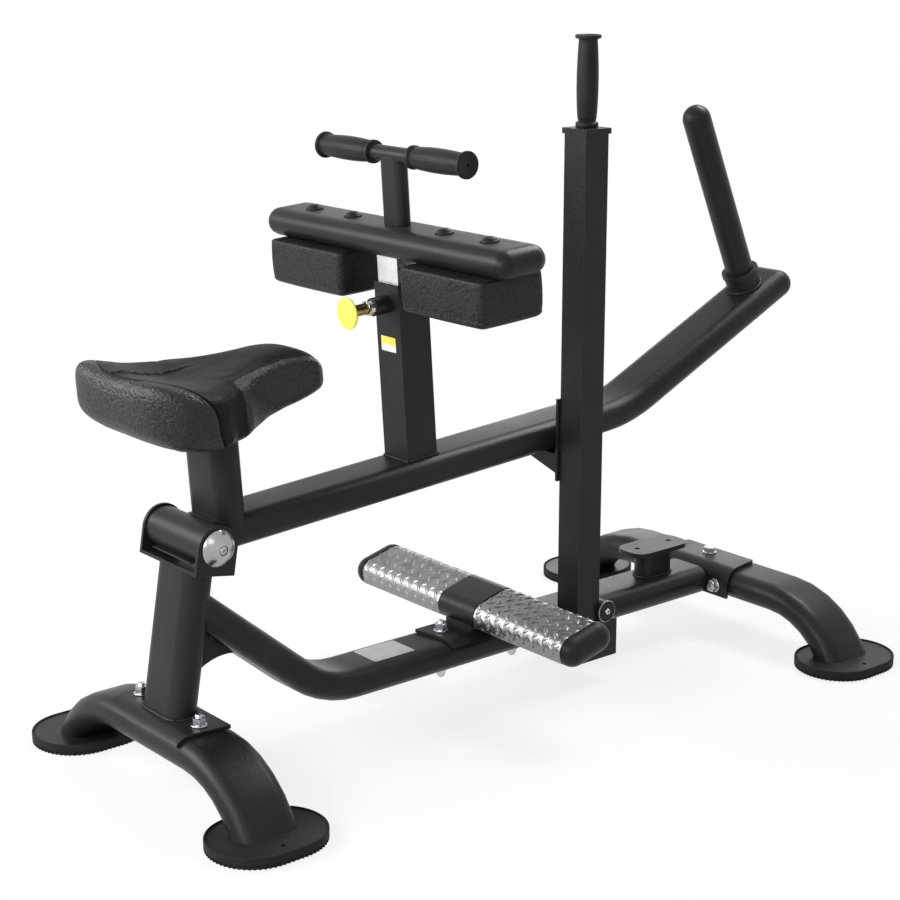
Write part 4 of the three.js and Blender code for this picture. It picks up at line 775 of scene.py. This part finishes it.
def tread_plate(node, side):
    """A thin sheet wrapped over the top of the bar, its outside displaced into the raised bars."""
    bend = (pi * TREAD_RADIUS / 2, -TREAD_RADIUS)
    legs = [(TREAD_SKIRT, 0), bend, (TREAD_FLAT, 0), bend, (TREAD_SKIRT, 0)]
    total = sum(length for length, _ in legs)
    rows = round((TREAD_OUTER - TREAD_INNER) / TREAD_GRID)
    stops = walk((-TREAD_FLAT / 2 - TREAD_RADIUS, -TREAD_SKIRT), (0, 1), legs, round(total / TREAD_GRID))
    section = [(run, place, Vector((-ahead.y, ahead.x))) for run, place, ahead in stops]
    section.append((total, Vector((TREAD_FLAT / 2 + TREAD_RADIUS, -TREAD_SKIRT)), Vector((1, 0))))
    rings = []
    for row in range(rows + 1):
        y = TREAD_INNER + (TREAD_OUTER - TREAD_INNER) * row / rows
        ring = []
        for run, place, out in section:
            edge = min(y - TREAD_INNER, TREAD_OUTER - y, run, total - run)
            lift = raised_bar(y, run) if edge > TREAD_BORDER else 0.0
            lift -= LENS_HEIGHT + (0.0005 if edge < TREAD_GRID / 2 else 0)
            ring.append((place.x + lift * out.x, side * y, place.y + lift * out.y))
        for _, place, out in section[::-8]:
            ring.append((place.x - TREAD_THICKNESS * out.x, side * y, place.y - TREAD_THICKNESS * out.y))
        rings.append(ring)
    make_piece(f"{node}_sheet", moved(skin(rings), STEP_PLACE), tread_metal, "base",
               [node], 50)


moulded_plastic = surface(
    "moulded_black_plastic", orange_peel, PLASTIC_COLOURS, roughness=(0.34, 0.46), bump=(0.0002, 0.5),
    specular=0.15, peel_scale=900.0, mottle_scale=30.0)


def quarter(steps, first=0):
    """The sine and cosine of even steps through a quarter turn."""
    angles = [pi / 2 * step / steps for step in range(first, steps + 1)]
    return [(sin(angle), cos(angle)) for angle in angles]


def step_cap(node, side):
    """A moulded cap: a short straight band, a fine groove and a domed end."""
    rows = [(0.0006, 0.0), (0.0, 0.0008), (0.0, 0.0026), (0.0006, 0.003), (0.0006, 0.0034), (0.0, 0.0038)]
    rows += [(TREAD_RADIUS * (1 - cosine), 0.0038 + (TREAD_RADIUS - 0.0014) * sine)
             for sine, cosine in quarter(15, 1)[:-1]]
    rings = []
    for drawn, out in rows:
        outline = stadium(TREAD_FLAT + 2 * TREAD_RADIUS, 2 * TREAD_RADIUS, [drawn] * 120)
        rings.append([(x, side * (TREAD_OUTER + 0.0003 + out), z) for x, z in outline])
    make_piece(f"{node}_moulding", moved(skin(rings), STEP_PLACE), moulded_plastic, "base",
               [node])


tread_plate("step_tread_near", -1)
tread_plate("step_tread_far", 1)
step_cap("step_cap_near", -1)
step_cap("step_cap_far", 1)


# The catch bracket and the catch's pivot bolt
# A plate box stands out from the near side of the base tube. Its two ears hold the bolt that the
# catch swings on: a wide bright washer, a black disc on it and a bright button head.
BUTTON_HEIGHT = 0.004
# Radius, and height over the washer's face.
BUTTON_PROFILE = [
    (0.006, -0.002), (0.0187, -0.002), (0.019, -0.0017), (0.019, -0.0006), (0.0185, -0.0002),
    (0.0181, -0.0002), (0.0178, -0.0007), (0.0055, -0.0007), (0.0055, 0.001), (0.00495, 0.0026),
    (0.00341, 0.0038), (0.00231, 0.004), (0.00209, 0.0037), (0.00198, 0.0014), (0, 0.0011),
]
DISC_PROFILE = [(0.0059, -0.0006), (0.0177, -0.0006), (0.0175, 0), (0.0075, 0.0002), (0.0059, 0)]

coat("catch_bracket")


def catch_pivot_bolt():
    """The bolt through the ears, and the black disc under its button head."""
    low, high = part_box("catch_pivot_bolt")
    middle = (low + high) / 2
    place = Matrix.Translation((middle.x, low.y + BUTTON_HEIGHT, middle.z)) @ facing(-1)
    end = low.y + BUTTON_HEIGHT - high.y
    shank = [(0, end), (STUD_RADIUS - 0.0008, end), (STUD_RADIUS, end + 0.0008)]
    make_piece("catch_pivot_bolt_bright", moved(turned(shank + BUTTON_PROFILE, 56), place), chrome, "base",
               ["catch_pivot_bolt"])
    make_piece("catch_pivot_disc", moved(turned(DISC_PROFILE, 56), place), moulded_plastic, "base",
               ["catch_pivot_bolt"])


catch_pivot_bolt()


# The pivot tube and its bearings
# A short round tube across the front end of the lever turns on the axle in two flanged brass
# bearings, one in each end. A narrow strip welded along its underside limits the swing.
STRIP_HALF_LENGTH = 0.053
STRIP_HALF_THICKNESS = 0.0015
STRIP_ROOT = 0.0185
STRIP_TIP = 0.0335
STRIP_DROP = 0.0225
STRIP_SOFTENING = 0.0012
BRASS_COLOURS = ((0.2, 0.135, 0.035, 1), (0.36, 0.27, 0.1, 1))

brass = metal_material("turned_brass", BRASS_COLOURS, (0.22, 0.36), 200.0, 60.0)
coat("pivot_tube")
for bearing in ("pivot_bearing_near", "pivot_bearing_far"):
    finish_node(bearing, brass, 0)


def stop_strip():
    """A narrow steel strip with a rounded front edge and softened ends."""
    half = STRIP_HALF_THICKNESS
    outline = [(STRIP_ROOT, -half)]
    for step in range(9):
        angle = radians(-90 + 180 * step / 8)
        outline.append((STRIP_TIP - half + half * cos(angle), half * sin(angle)))
    outline.append((STRIP_ROOT, half))
    inner = STRIP_HALF_LENGTH - STRIP_SOFTENING
    rings = []
    for y, drawn in ((-STRIP_HALF_LENGTH, STRIP_SOFTENING), (-inner, 0), (0, 0), (inner, 0),
                     (STRIP_HALF_LENGTH, STRIP_SOFTENING)):
        thinned = 1 - drawn / half * 0.6
        rings.append([(PIVOT[0] - out + drawn, y, PIVOT[2] - STRIP_DROP + up * thinned)
                      for out, up in outline])
    make_piece("pivot_stop_strip", skin(rings), black_coat, "lever", (), 50)


stop_strip()


# The lever arm
# One flat oval tube from the pivot to the weight horn, bent up near its end and closed with a
# rounded cap. The seat and the thigh post stand on it.
LEVER_TILT = Matrix.Rotation(radians(-3.7), 4, "Y")
LEVER = Matrix.Translation(PIVOT) @ LEVER_TILT

coat("lever_arm")


# The seat post and the seat pan
# A leaning flat oval tube with a plain steel pan welded on its top, to which the seat is screwed.
# The pan's corners are cut well round so that they stay under the cushion.
PAN_CORNER = 0.03
PAN_THICKNESS = 0.0035
PAN_SOFTENING = 0.0006
PAN_SHORTER = 0.016
PAN_SINK = 0.0042

coat("seat_post")


def seat_pan():
    """A flat plate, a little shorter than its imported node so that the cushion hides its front."""
    low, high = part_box("seat_pan")
    front = high.x - PAN_SHORTER
    middle = Matrix.Translation(((front + low.x) / 2, 0, high.z - PAN_SINK))
    rings = []
    for drawn, height in ((PAN_SOFTENING, -PAN_THICKNESS), (0, PAN_SOFTENING - PAN_THICKNESS),
                          (0, -PAN_SOFTENING), (PAN_SOFTENING, 0)):
        outline = rounded_rectangle((front - low.x) / 2, (high.y - low.y) / 2, PAN_CORNER, 8, drawn)
        rings.append([(x, y, height) for x, y in outline])
    make_piece("seat_pan_plate", moved(skin(rings), middle @ LEVER_TILT), black_coat, "lever",
               ["seat_pan"])


seat_pan()


# The seat cushion
# A saddle shaped cushion of black leatherette over foam, broad at the back and narrow between the
# thighs. A sewn seam joins the pebbled rear panel to the smoother top panel, which is pinched into
# a pleat in the middle. The pebbled side panels bulge over the edge of the top panel.
SEAT_REAR = -0.11
SEAT_LENGTH = 0.358
SEAT_WIDTH = 0.296
SEAT_BASE = 0.1486
SEAT_HEIGHT = 0.122
SEAT_AROUND = 320
SEAT_CROWDING = 1.9
SEAT_REAR_ROWS = 60
SEAT_FRONT_ROWS = 150
SEAT_ROW_CROWDING = 1.15
SEAT_SIDE_POWER = 0.55
SEAT_CROWN_POWER = 0.5
# Shares of the length, and there of the width, the underside, the top and the top's rise at the sides.
SEAT_SHARES = [
    (0.000, 0.42, 0.47, 0.79, 0.03), (0.012, 0.64, 0.39, 0.89, 0.06), (0.035, 0.78, 0.31, 0.95, 0.11),
    (0.075, 0.90, 0.22, 0.96, 0.13), (0.130, 0.98, 0.14, 0.92, 0.14), (0.200, 1.00, 0.09, 0.86, 0.13),
    (0.270, 0.99, 0.05, 0.81, 0.12), (0.340, 0.93, 0.02, 0.80, 0.11), (0.400, 0.83, 0.01, 0.81, 0.09),
    (0.470, 0.69, 0.00, 0.82, 0.07), (0.531, 0.56, 0.01, 0.84, 0.05), (0.600, 0.45, 0.03, 0.86, 0.03),
    (0.668, 0.38, 0.08, 0.88, 0.01), (0.750, 0.35, 0.13, 0.89, 0.00), (0.845, 0.34, 0.18, 0.85, 0.00),
    (0.913, 0.31, 0.22, 0.77, 0.00), (0.962, 0.25, 0.26, 0.66, 0.00), (0.989, 0.17, 0.32, 0.56, 0.00),
    (1.000, 0.08, 0.39, 0.48, 0.00),
]
# By the angle round the section, 90 at the crown and -90 underneath: the seam's share of the length.
SEAM_SHARES = [(-90, 0.30), (-50, 0.295), (-20, 0.27), (5, 0.24), (25, 0.198), (45, 0.15), (62, 0.1),
               (80, 0.055), (90, 0.042)]
SEAM_DEPTH = 0.0026
SEAM_HALF_WIDTH = 0.0016
SEAM_LIP = 0.0007
PLEAT_START = (0.045, 0.02)
PLEAT_END = (0.46, 0.03)
PLEAT_HEIGHT = 0.0038
PLEAT_HALF_WIDTH = 0.0034
# By the share of the length: the angle at which the side panels end.
FLANK_EDGE = [(0.40, 62), (0.47, 54), (0.56, 46), (0.66, 41), (0.78, 42), (0.9, 44), (1.0, 44)]
FLANK_START = 0.43
FLANK_SLANT = 0.0007
FLANK_BULGE = 0.0055
FLANK_HEM = 0.001
VALLEY_MIDDLE = 0.375
VALLEY_WIDTH = 0.06
VALLEY_DEPTH = 0.0065
SEAT_UNEVENNESS = 0.0004
PROBE_ALONG = 0.004
PROBE_ROUND = 0.02
LEATHER_COLOURS = ((0.011, 0.011, 0.0113, 1), (0.019, 0.019, 0.0195, 1))
SMOOTH_COLOURS = ((0.0075, 0.0075, 0.0077, 1), (0.012, 0.012, 0.0123, 1))
LEATHER_CREASE = (0.005, 0.005, 0.005, 1)


def grain_effect(tree, given):
    """Pebbled leather grain: rounded cells of uneven size, with darker creases between them."""
    where = add_node(tree, "ShaderNodeTexCoord").outputs["Object"]
    warp = add_node(tree, "ShaderNodeTexNoise", {"Vector": where, "Scale": 90})
    pushed = add_node(tree, "ShaderNodeVectorMath", {
        0: warp.outputs["Color"], 1: (0.004, 0.004, 0.004), 2: where}, operation="MULTIPLY_ADD")
    cells = add_node(tree, "ShaderNodeTexVoronoi", {
        "Vector": pushed.outputs["Vector"], "Scale": given["cell_scale"], "Smoothness": 0.5},
        feature="SMOOTH_F1").outputs["Distance"]
    return {"Height": spread(tree, cells, 0.75, 0.1), "Crease": spread(tree, cells, 0.4, 0.85),
            "Mottle": mottle(tree, given)}


leather_grain = shader_group("leather_grain", grain_effect, cell_scale=520.0, mottle_scale=14.0)


def leather_material(name, colours, roughness, cell_scale, height, specular):
    """Black leatherette, darker in the creases of its grain."""
    return surface(name, leather_grain, colours, roughness, (height, 0.7), specular,
                   overlay=(leather_grain, "Crease", LEATHER_CREASE), cell_scale=cell_scale)


pebbled_leather = leather_material("pebbled_leatherette", LEATHER_COLOURS, (0.4, 0.5), 235.0, 0.0012, 0.28)
smooth_leather = leather_material("smooth_leatherette", SMOOTH_COLOURS, (0.42, 0.5), 320.0, 0.0004, 0.06)


def eased(table, along):
    """The row of a table at a share along it, on a smooth curve through its rows."""
    upper = max(1, next((index for index, row in enumerate(table) if row[0] >= along), len(table) - 1))
    start, end = table[upper - 1], table[upper]
    before, after = table[max(0, upper - 2)], table[min(len(table) - 1, upper + 1)]
    span = end[0] - start[0]
    share = min(1.0, max(0.0, (along - start[0]) / span))
    squared, cubed = share ** 2, share ** 3
    row = []
    for column in range(1, len(start)):
        slope_in = (end[column] - before[column]) / (end[0] - before[0]) * span
        slope_out = (after[column] - start[column]) / (after[0] - start[0]) * span
        row.append((2 * cubed - 3 * squared + 1) * start[column] + (cubed - 2 * squared + share) * slope_in
                   + (3 * squared - 2 * cubed) * end[column] + (cubed - squared) * slope_out)
    return row


def bulge(value, power):
    """A power of a number, with its sign."""
    return copysign(abs(value) ** power, value)


def fade(value, start, end):
    """0 before start, 1 after end, and smooth between them."""
    share = min(1.0, max(0.0, (value - start) / (end - start)))
    return share * share * (3 - 2 * share)


def hump(value, middle, width):
    """1 at the middle, falling off smoothly on both sides."""
    return exp(-((value - middle) / width) ** 2)


def soft_least(first, second):
    """The smaller of two numbers, rounded off where they are alike."""
    return -log(exp(-6 * first) + exp(-6 * second)) / 6


def plain_seat(along, angle):
    """A point of the plain cushion, in the lever's frame."""
    width_share, low_share, top_share, rise_share = eased(SEAT_SHARES, along)
    low, top = SEAT_BASE + low_share * SEAT_HEIGHT, SEAT_BASE + top_share * SEAT_HEIGHT
    middle = (low + top) / 2
    across = bulge(cos(angle), SEAT_SIDE_POWER)
    up = bulge(sin(angle), SEAT_CROWN_POWER)
    crown = top + rise_share * SEAT_HEIGHT * across ** 2
    return Vector((SEAT_REAR + along * SEAT_LENGTH, width_share * SEAT_WIDTH / 2 * across,
                   middle + up * ((crown - middle) if up > 0 else (middle - low))))


def pleat_height(point):
    """The raised, wrinkled pleat across the middle of the top panel."""
    start = Vector((SEAT_REAR + PLEAT_START[0] * SEAT_LENGTH, PLEAT_START[1]))
    line = Vector((SEAT_REAR + PLEAT_END[0] * SEAT_LENGTH, PLEAT_END[1])) - start
    share = (point.xy - start).dot(line) / line.length_squared
    if not -0.05 < share < 1.05:
        return 0.0
    off = (point.xy - start - line * share).length * (1 if line.cross(point.xy - start) > 0 else -1)
    wrinkle = 0.75 + 0.25 * sin(share * 46 + 3 * noise.noise(point * 60))
    ends = fade(share, -0.05, 0.12) * (1 - fade(share, 0.6, 1.05))
    crease = 0.8 * hump(off, -1.5 * PLEAT_HALF_WIDTH, 0.4 * PLEAT_HALF_WIDTH)
    return PLEAT_HEIGHT * ends * (hump(off, 0, PLEAT_HALF_WIDTH) * wrinkle - crease)


def finished_seat(row, angle):
    """A point of the cushion with its seam, pleat and side panels, and whether it is pebbled.

    The row runs from -1 at the rear over 0 at the seam to 1 at the front.
    """
    level = degrees(asin(max(-1.0, min(1.0, sin(angle)))))
    seam = eased(SEAM_SHARES, level)[0]
    along = seam * (1 + row) if row < 0 else seam + (1 - seam) * row
    point = plain_seat(along, angle)
    ahead = plain_seat(min(1.0, along + PROBE_ALONG), angle)
    ahead -= plain_seat(max(0.0, along - PROBE_ALONG), angle)
    normal = ahead.cross(plain_seat(along, angle + PROBE_ROUND) - plain_seat(along, angle - PROBE_ROUND))
    normal = normal.normalized() if normal.length > 1e-9 else Vector((0, 0, 1))
    if normal.dot(point - Vector((point.x, 0, SEAT_BASE + 0.5 * SEAT_HEIGHT))) < 0:
        normal = -normal
    off = (along - seam) * SEAT_LENGTH
    lip = SEAM_LIP * hump(abs(off), 3.2 * SEAM_HALF_WIDTH, 2 * SEAM_HALF_WIDTH)
    lift = (lip - SEAM_DEPTH * hump(off, 0, SEAM_HALF_WIDTH)) * fade(level, -80, -55)
    lift *= 1 - 0.8 * fade(point.y, 0.03, 0.07)
    edge = eased(FLANK_EDGE, max(FLANK_EDGE[0][0], along))[0]
    inside = soft_least((along - FLANK_START + FLANK_SLANT * level) / 0.12, (edge - level) / 40)
    flank = fade(inside, -0.05, 0.5) * (1 - fade(along, 0.86, 0.985)) * fade(level, -50, 0)
    lift -= VALLEY_DEPTH * hump(along, VALLEY_MIDDLE, VALLEY_WIDTH) * (
        fade(level, -75, -20) * (1 - fade(level, 28, 62)))
    lift -= FLANK_HEM * hump(inside, -0.1, 0.09) * (1 - fade(along, 0.8, 0.95)) * fade(level, -50, -20)
    pleat = pleat_height(point) if level > 45 else 0.0
    lift += pleat + SEAT_UNEVENNESS * noise.noise(point * 45)
    outward = Vector((0, copysign(FLANK_BULGE * flank, point.y), 0))
    pebbled = off < 0 or inside > 0.12 or level < -30 or pleat > 0.4 * PLEAT_HEIGHT
    return point + normal * lift + outward, pebbled


def seat_cushion():
    """The whole cover as one skin in two leatherettes. Its quads crowd where it curves most."""
    angles = []
    for step in range(SEAT_AROUND):
        quarter_turns, share = divmod(4 * step / SEAT_AROUND, 1)
        rise, fall = share ** SEAT_CROWDING, (1 - share) ** SEAT_CROWDING
        angles.append((quarter_turns + rise / (rise + fall)) * pi / 2)
    rows = [-((1 - row / SEAT_REAR_ROWS) ** SEAT_ROW_CROWDING) for row in range(SEAT_REAR_ROWS)]
    rows += [(row / SEAT_FRONT_ROWS) ** SEAT_ROW_CROWDING for row in range(SEAT_FRONT_ROWS + 1)]
    grid = [[finished_seat(row, angle) for angle in angles] for row in rows]
    lump = skin([[point for point, _ in ring] for ring in grid])
    piece = make_piece("seat_cushion_cover", moved(lump, LEVER), smooth_leather, "lever",
                       ["seat_cushion"], 75)
    piece.data.materials.append(pebbled_leather)
    pebbled = [flag for ring in grid for _, flag in ring]
    for face in piece.data.polygons:
        votes = sum(pebbled[corner] for corner in face.vertices)
        face.material_index = 1 if 2 * votes > len(face.vertices) else 0


seat_cushion()


# The thigh post and the pull pin's housing
# A square tube with two small stickers stands on the lever. A short turned housing on its seat side
# guides the pull pin, with a bright notched sleeve at its outer end.
STICKER_CORNER = (0.39345, 0.0198)
STICKER_WIDTH = 0.0362
STICKER_TURN = Matrix(((0, 0, -1), (-1, 0, 0), (0, 1, 0))).to_4x4()
# Each sticker's lower and upper end, and the name and colours of its film.
STICKERS = {
    "upper": (0.2138, 0.2258, "yellow_paper", ((0.72, 0.56, 0.05, 1), (0.8, 0.66, 0.09, 1))),
    "lower": (0.202, 0.2138, "white_paper", ((0.55, 0.55, 0.55, 1), (0.68, 0.68, 0.68, 1))),
}
THIGH_FOOT = [(0.03, 0.03), (-0.03, 0.03), (-0.03, -0.03), (0.03, -0.03)]
THIGH_FOOT_PLACE = (0.4235, 0, 0.0254)
PIN_AXIS = LEVER @ Matrix.Translation((0, 0, 0.279)) @ Matrix.Rotation(pi / 2, 4, "Y")
GUIDE_NOTCHES = 4
GUIDE_NOTCH_DEPTH = 0.0042
GUIDE_FACETS = 64
# Radius, distance from the lever's pivot, and 1 where the notches cut it.
GUIDE_PROFILE = [(0.0094, 0.3634, 0), (0.0094, 0.3512, 1), (0.0112, 0.3512, 1), (0.0118, 0.3518, 1),
                 (0.0118, 0.3634, 0)]

coat("thigh_post", "pin_housing")
weld_round("weld_thigh_foot", THIGH_FOOT, LEVER @ Matrix.Translation(THIGH_FOOT_PLACE), "lever")
for part, (low, high, film, colours) in STICKERS.items():
    place = LEVER @ Matrix.Translation((*STICKER_CORNER, low)) @ STICKER_TURN
    bare_label(f"thigh_post_label_{part}", STICKER_WIDTH, high - low, place,
               paper(film, colours, (0.35, 0.5), 80.0), "lever")


def guide_at(angle):
    """The profile of the bright guide sleeve, with notches for a spanner in its outer end."""
    cut = GUIDE_NOTCH_DEPTH if cos(GUIDE_NOTCHES * angle) > 0.55 else 0.0
    return [(radius, height + cut * notched) for radius, height, notched in GUIDE_PROFILE]


guide = moved(swept(guide_at, GUIDE_FACETS, loop=True), PIN_AXIS)
make_piece("pin_guide", guide, zinc_steel, "lever", (), 30)


# The pull pin
# A brass plunger in the housing, drawn back against its spring by a yellow plastic knob.
YELLOW_COLOURS = ((0.78, 0.66, 0.06, 1), (0.9, 0.8, 0.14, 1))
# Radius, and distance from the lever's pivot.
KNOB_PROFILE = [
    (0, 0.3134), (0.018, 0.3134), (0.0236, 0.3137), (0.0251, 0.3144), (0.0255, 0.3156), (0.0254, 0.3168),
    (0.0246, 0.3179), (0.021, 0.3188), (0.015, 0.3198), (0.0118, 0.3212), (0.0108, 0.3228),
    (0.0106, 0.3240), (0, 0.3240),
]

finish_node("pin_plunger", brass, 0.0003)
yellow_plastic = surface("yellow_plastic", orange_peel, YELLOW_COLOURS, roughness=(0.28, 0.4),
                         bump=(0.0002, 0.3), peel_scale=260.0, mottle_scale=50.0)
make_piece("pin_knob_moulding", moved(turned(KNOB_PROFILE, 72), PIN_AXIS), yellow_plastic, "pin",
           ["pin_knob"], 50)


# The inner post
# A bright plated square tube that slides in the thigh post and carries the thigh bar.
PLATED_COLOURS = ((0.74, 0.75, 0.76, 1), (0.86, 0.87, 0.88, 1))

bright_post = metal_material("bright_plated_post", PLATED_COLOURS, (0.2, 0.34), 110.0, 35.0, 0.00003)
finish_node("inner_post", bright_post)


# The thigh bar and its pads
# A flat oval bar with rounded ends lies across the inner post. Two foam pads covered in pebbled
# leatherette hang under it, each on two bolts whose black domed caps sit on top of the bar.
PAD_MIDDLE_X = 0.4235
PAD_TOP = 0.3537
PAD_WIDTH = 0.126
PAD_INNER = 0.074
PAD_LENGTH = 0.193
PAD_BODY = 0.071
PAD_GAP = 0.0008
PAD_CROWN = 0.004
PAD_CORNER = 0.0105
PAD_LEAST_CORNER = 0.002
PAD_BOTTOM_ROUND = 0.013
PAD_TOP_ROUND = 0.0035
PAD_SEAM_RISE = 0.0115
PAD_BELLY = 0.0008
PAD_AROUND = 144
# How far in, and how high over the pad's lowest plane: the seam and the underside's last rings.
PAD_SEAM = [(0.0002, 0.0127), (0.0008, 0.0115), (0.0003, 0.0103)]
PAD_UNDERSIDE = [(0.022, -0.0008), (0.034, -0.0014), (0.046, -0.0018), (0.056, -0.002)]
# Radius and height over the lever's pivot, then the radius, the foot and the rise of the dome.
PAD_BOLT_PROFILE = [
    (0, 0.3542), (0.0045, 0.3542), (0.005, 0.3547), (0.005, 0.4002), (0.0146, 0.4002), (0.015, 0.4006),
    (0.015, 0.4014), (0.0146, 0.4019), (0.0122, 0.4022), (0.0116, 0.4027),
]
PAD_BOLT_DOME = (0.0113, 0.4028, 0.0052)
PAD_BOLTS = {"inner": 0.1143, "outer": 0.2183}

coat("thigh_bar")
pad_leather = leather_material("pebbled_pad_leatherette", LEATHER_COLOURS, (0.44, 0.54), 250.0, 0.0006, 0.2)


def pad_outline(half_x, half_y, corner):
    """Evenly spaced points of a rectangle with round corners."""
    bend = (pi * corner / 2, corner)
    legs = [(2 * (half_y - corner), 0), bend, (2 * (half_x - corner), 0), bend] * 2
    return [place for _, place, _ in walk((half_x, corner - half_y), (0, 1), legs, PAD_AROUND)]


def thigh_pad(node, side):
    """A crowned pad with a crisp upper edge, a seam near its rounded lower edge and a full belly."""
    drop = PAD_BODY - PAD_TOP_ROUND - PAD_SEAM_RISE
    rows = [(0.02, PAD_BODY), (0.006, PAD_BODY)]
    rows += [(PAD_TOP_ROUND * (1 - sine), PAD_BODY - PAD_TOP_ROUND * (1 - cosine))
             for sine, cosine in quarter(4)]
    rows += [(-PAD_BELLY * sin(pi * share), PAD_BODY - PAD_TOP_ROUND - share * drop)
             for share in (0.15, 0.3, 0.45, 0.6, 0.75, 0.88)]
    rows += PAD_SEAM + [(PAD_BOTTOM_ROUND * (1 - cosine), (PAD_SEAM_RISE - 0.0014) * (1 - sine))
                        for sine, cosine in quarter(8, 1)]
    middle_y = side * (PAD_INNER + PAD_LENGTH / 2)
    rings = []
    for inset, height in rows + PAD_UNDERSIDE:
        outline = pad_outline(PAD_WIDTH / 2 - PAD_GAP - inset, PAD_LENGTH / 2 - PAD_GAP - inset,
                              max(PAD_LEAST_CORNER, PAD_CORNER - max(0.0, inset) * 0.6))
        ring = []
        for x, y in outline:
            belly = PAD_CROWN * (1 - (2 * x / PAD_WIDTH) ** 2) * (1 - (2 * y / PAD_LENGTH) ** 2)
            ring.append((PAD_MIDDLE_X + x, middle_y + y,
                         PAD_TOP - PAD_BODY + height - (belly if height < PAD_SEAM_RISE else 0.0)))
        rings.append(ring)
    piece = make_piece(f"{node}_cover", moved(skin(rings), LEVER), pad_leather, "carriage",
                       [node], 50)


thigh_pad("thigh_pad_near", -1)
thigh_pad("thigh_pad_far", 1)


def pad_bolt(node, y):
    """A bolt through the bar, its head hidden by a flanged, domed plastic cap."""
    radius, low, rise = PAD_BOLT_DOME
    dome = [(radius * cosine, low + rise * sine) for sine, cosine in quarter(8, 1)]
    place = LEVER @ Matrix.Translation((PAD_MIDDLE_X, y, 0))
    make_piece(f"{node}_cap", moved(turned(PAD_BOLT_PROFILE + dome, 56), place), moulded_plastic,
               "carriage", [node], 40)


for side, name in ((-1, "near"), (1, "far")):
    for end, reach in PAD_BOLTS.items():
        pad_bolt(f"pad_bolt_{name}_{end}", side * reach)


# The handlebar
# A short stem on the thigh bar carries a round bar with a moulded rubber grip on each side. Each
# grip has a flange at its outer end, a swelling body and a rolled ring at its inner end.
GRIP_NECK_RADIUS = 0.0158
GRIP_SWELL = 0.0026
GRIP_FACETS = 120
GRIP_ROWS = 24
GRIP_FLUTES = 30
GRIP_FLUTE_DEPTH = 0.00018
GRIP_START = 0.0462
GRIP_LENGTH = 0.1316
# Radius and height of the ring, and radius and distance from the outer end of the flange.
GRIP_RING = [(0, 0), (0.0167, 0), (0.0181, 0.0007), (0.0185, 0.002), (0.0185, 0.0066), (0.0179, 0.0081),
             (0.0165, 0.0088)]
GRIP_FLANGE = [(0.0194, 0.0062), (0.0207, 0.0056), (0.021, 0.0044), (0.021, 0.0018), (0.0204, 0.0006),
               (0.0188, 0), (0.0164, 0), (0.0156, 0.0007), (0.0026, 0.0009), (0.0022, 0.0012),
               (0.002, 0.004), (0, 0.0042)]
HANDLEBAR_PLACE = (0.4235, 0, 0.5085)

grip_rubber = rubber_material("grip_rubber", 0.42, 0.0003)
coat("handle_stem", "handlebar")


def grip(name, length, slimmer, matrix, body, stands_for):
    """A moulded grip: ring, neck, fluted swelling body, flange and a dished end with a vent hole."""
    neck = GRIP_NECK_RADIUS - slimmer
    rows = [(radius, height, 0) for radius, height in GRIP_RING]
    rows += [(neck, 0.0094, 0), (neck, 0.0116, 0)]
    for share in [step / GRIP_ROWS for step in range(GRIP_ROWS + 1)]:
        rows.append((neck + 0.0007 + GRIP_SWELL * sin(pi * share ** 0.9) ** 0.8,
                     0.0128 + (length - 0.022) * share, sin(pi * share) ** 0.4))
    rows.append((neck + 0.0012, length - 0.0076, 0))
    rows += [(radius, length - inward, 0) for radius, inward in GRIP_FLANGE]

    def profile_at(angle):
        flute = GRIP_FLUTE_DEPTH * (0.5 + 0.5 * cos(GRIP_FLUTES * angle))
        return [(max(radius, LEAST_RADIUS) - flute * fluted, height) for radius, height, fluted in rows]

    make_piece(name, moved(swept(profile_at, GRIP_FACETS), matrix), grip_rubber, body,
               [stands_for], 42)


for side, name in ((-1, "near"), (1, "far")):
    node = f"handle_grip_{name}"
    place = LEVER @ Matrix.Translation(HANDLEBAR_PLACE) @ Matrix.Translation((0, side * GRIP_START, 0))
    grip(f"{node}_moulding", GRIP_LENGTH, 0.0, place @ facing(side), "carriage", node)


# The weight horn
# A round bar that stands nearly square on the rising end of the lever, with a welded collar at its
# foot that the plates rest on, and a domed black cap.
HORN_PLACE = (1.214743, 0, 0.157751)
HORN_BACK = radians(20.5)
HORN_COLLAR_RADIUS = 0.0312

coat("weight_horn", "horn_collar")
finish_node("horn_cap", moulded_plastic, 0)
horn_foot = LEVER @ Matrix.Translation(HORN_PLACE) @ Matrix.Rotation(-HORN_BACK, 4, "Y")
collar_outline = [(HORN_COLLAR_RADIUS * cos(angle), HORN_COLLAR_RADIUS * sin(angle))
                  for angle in all_round(48)]
weld_round("weld_collar_foot", collar_outline, horn_foot @ Matrix.Translation((0, 0, 0.0006)), "lever")


# The safety catch
# A square tube swings on the pivot bolt and holds the lever up on a welded shelf. A plate closes
# its top, and a moulded grip stands on the plate.
CATCH_GRIP_SLIMMER = 0.0014

coat("catch_post", "catch_shelf")
low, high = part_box("catch_grip")
catch_foot = Matrix.Translation(((low.x + high.x) / 2, (low.y + high.y) / 2, low.z))
grip("catch_grip_moulding", high.z - low.z, CATCH_GRIP_SLIMMER, catch_foot, "catch", "catch_grip")
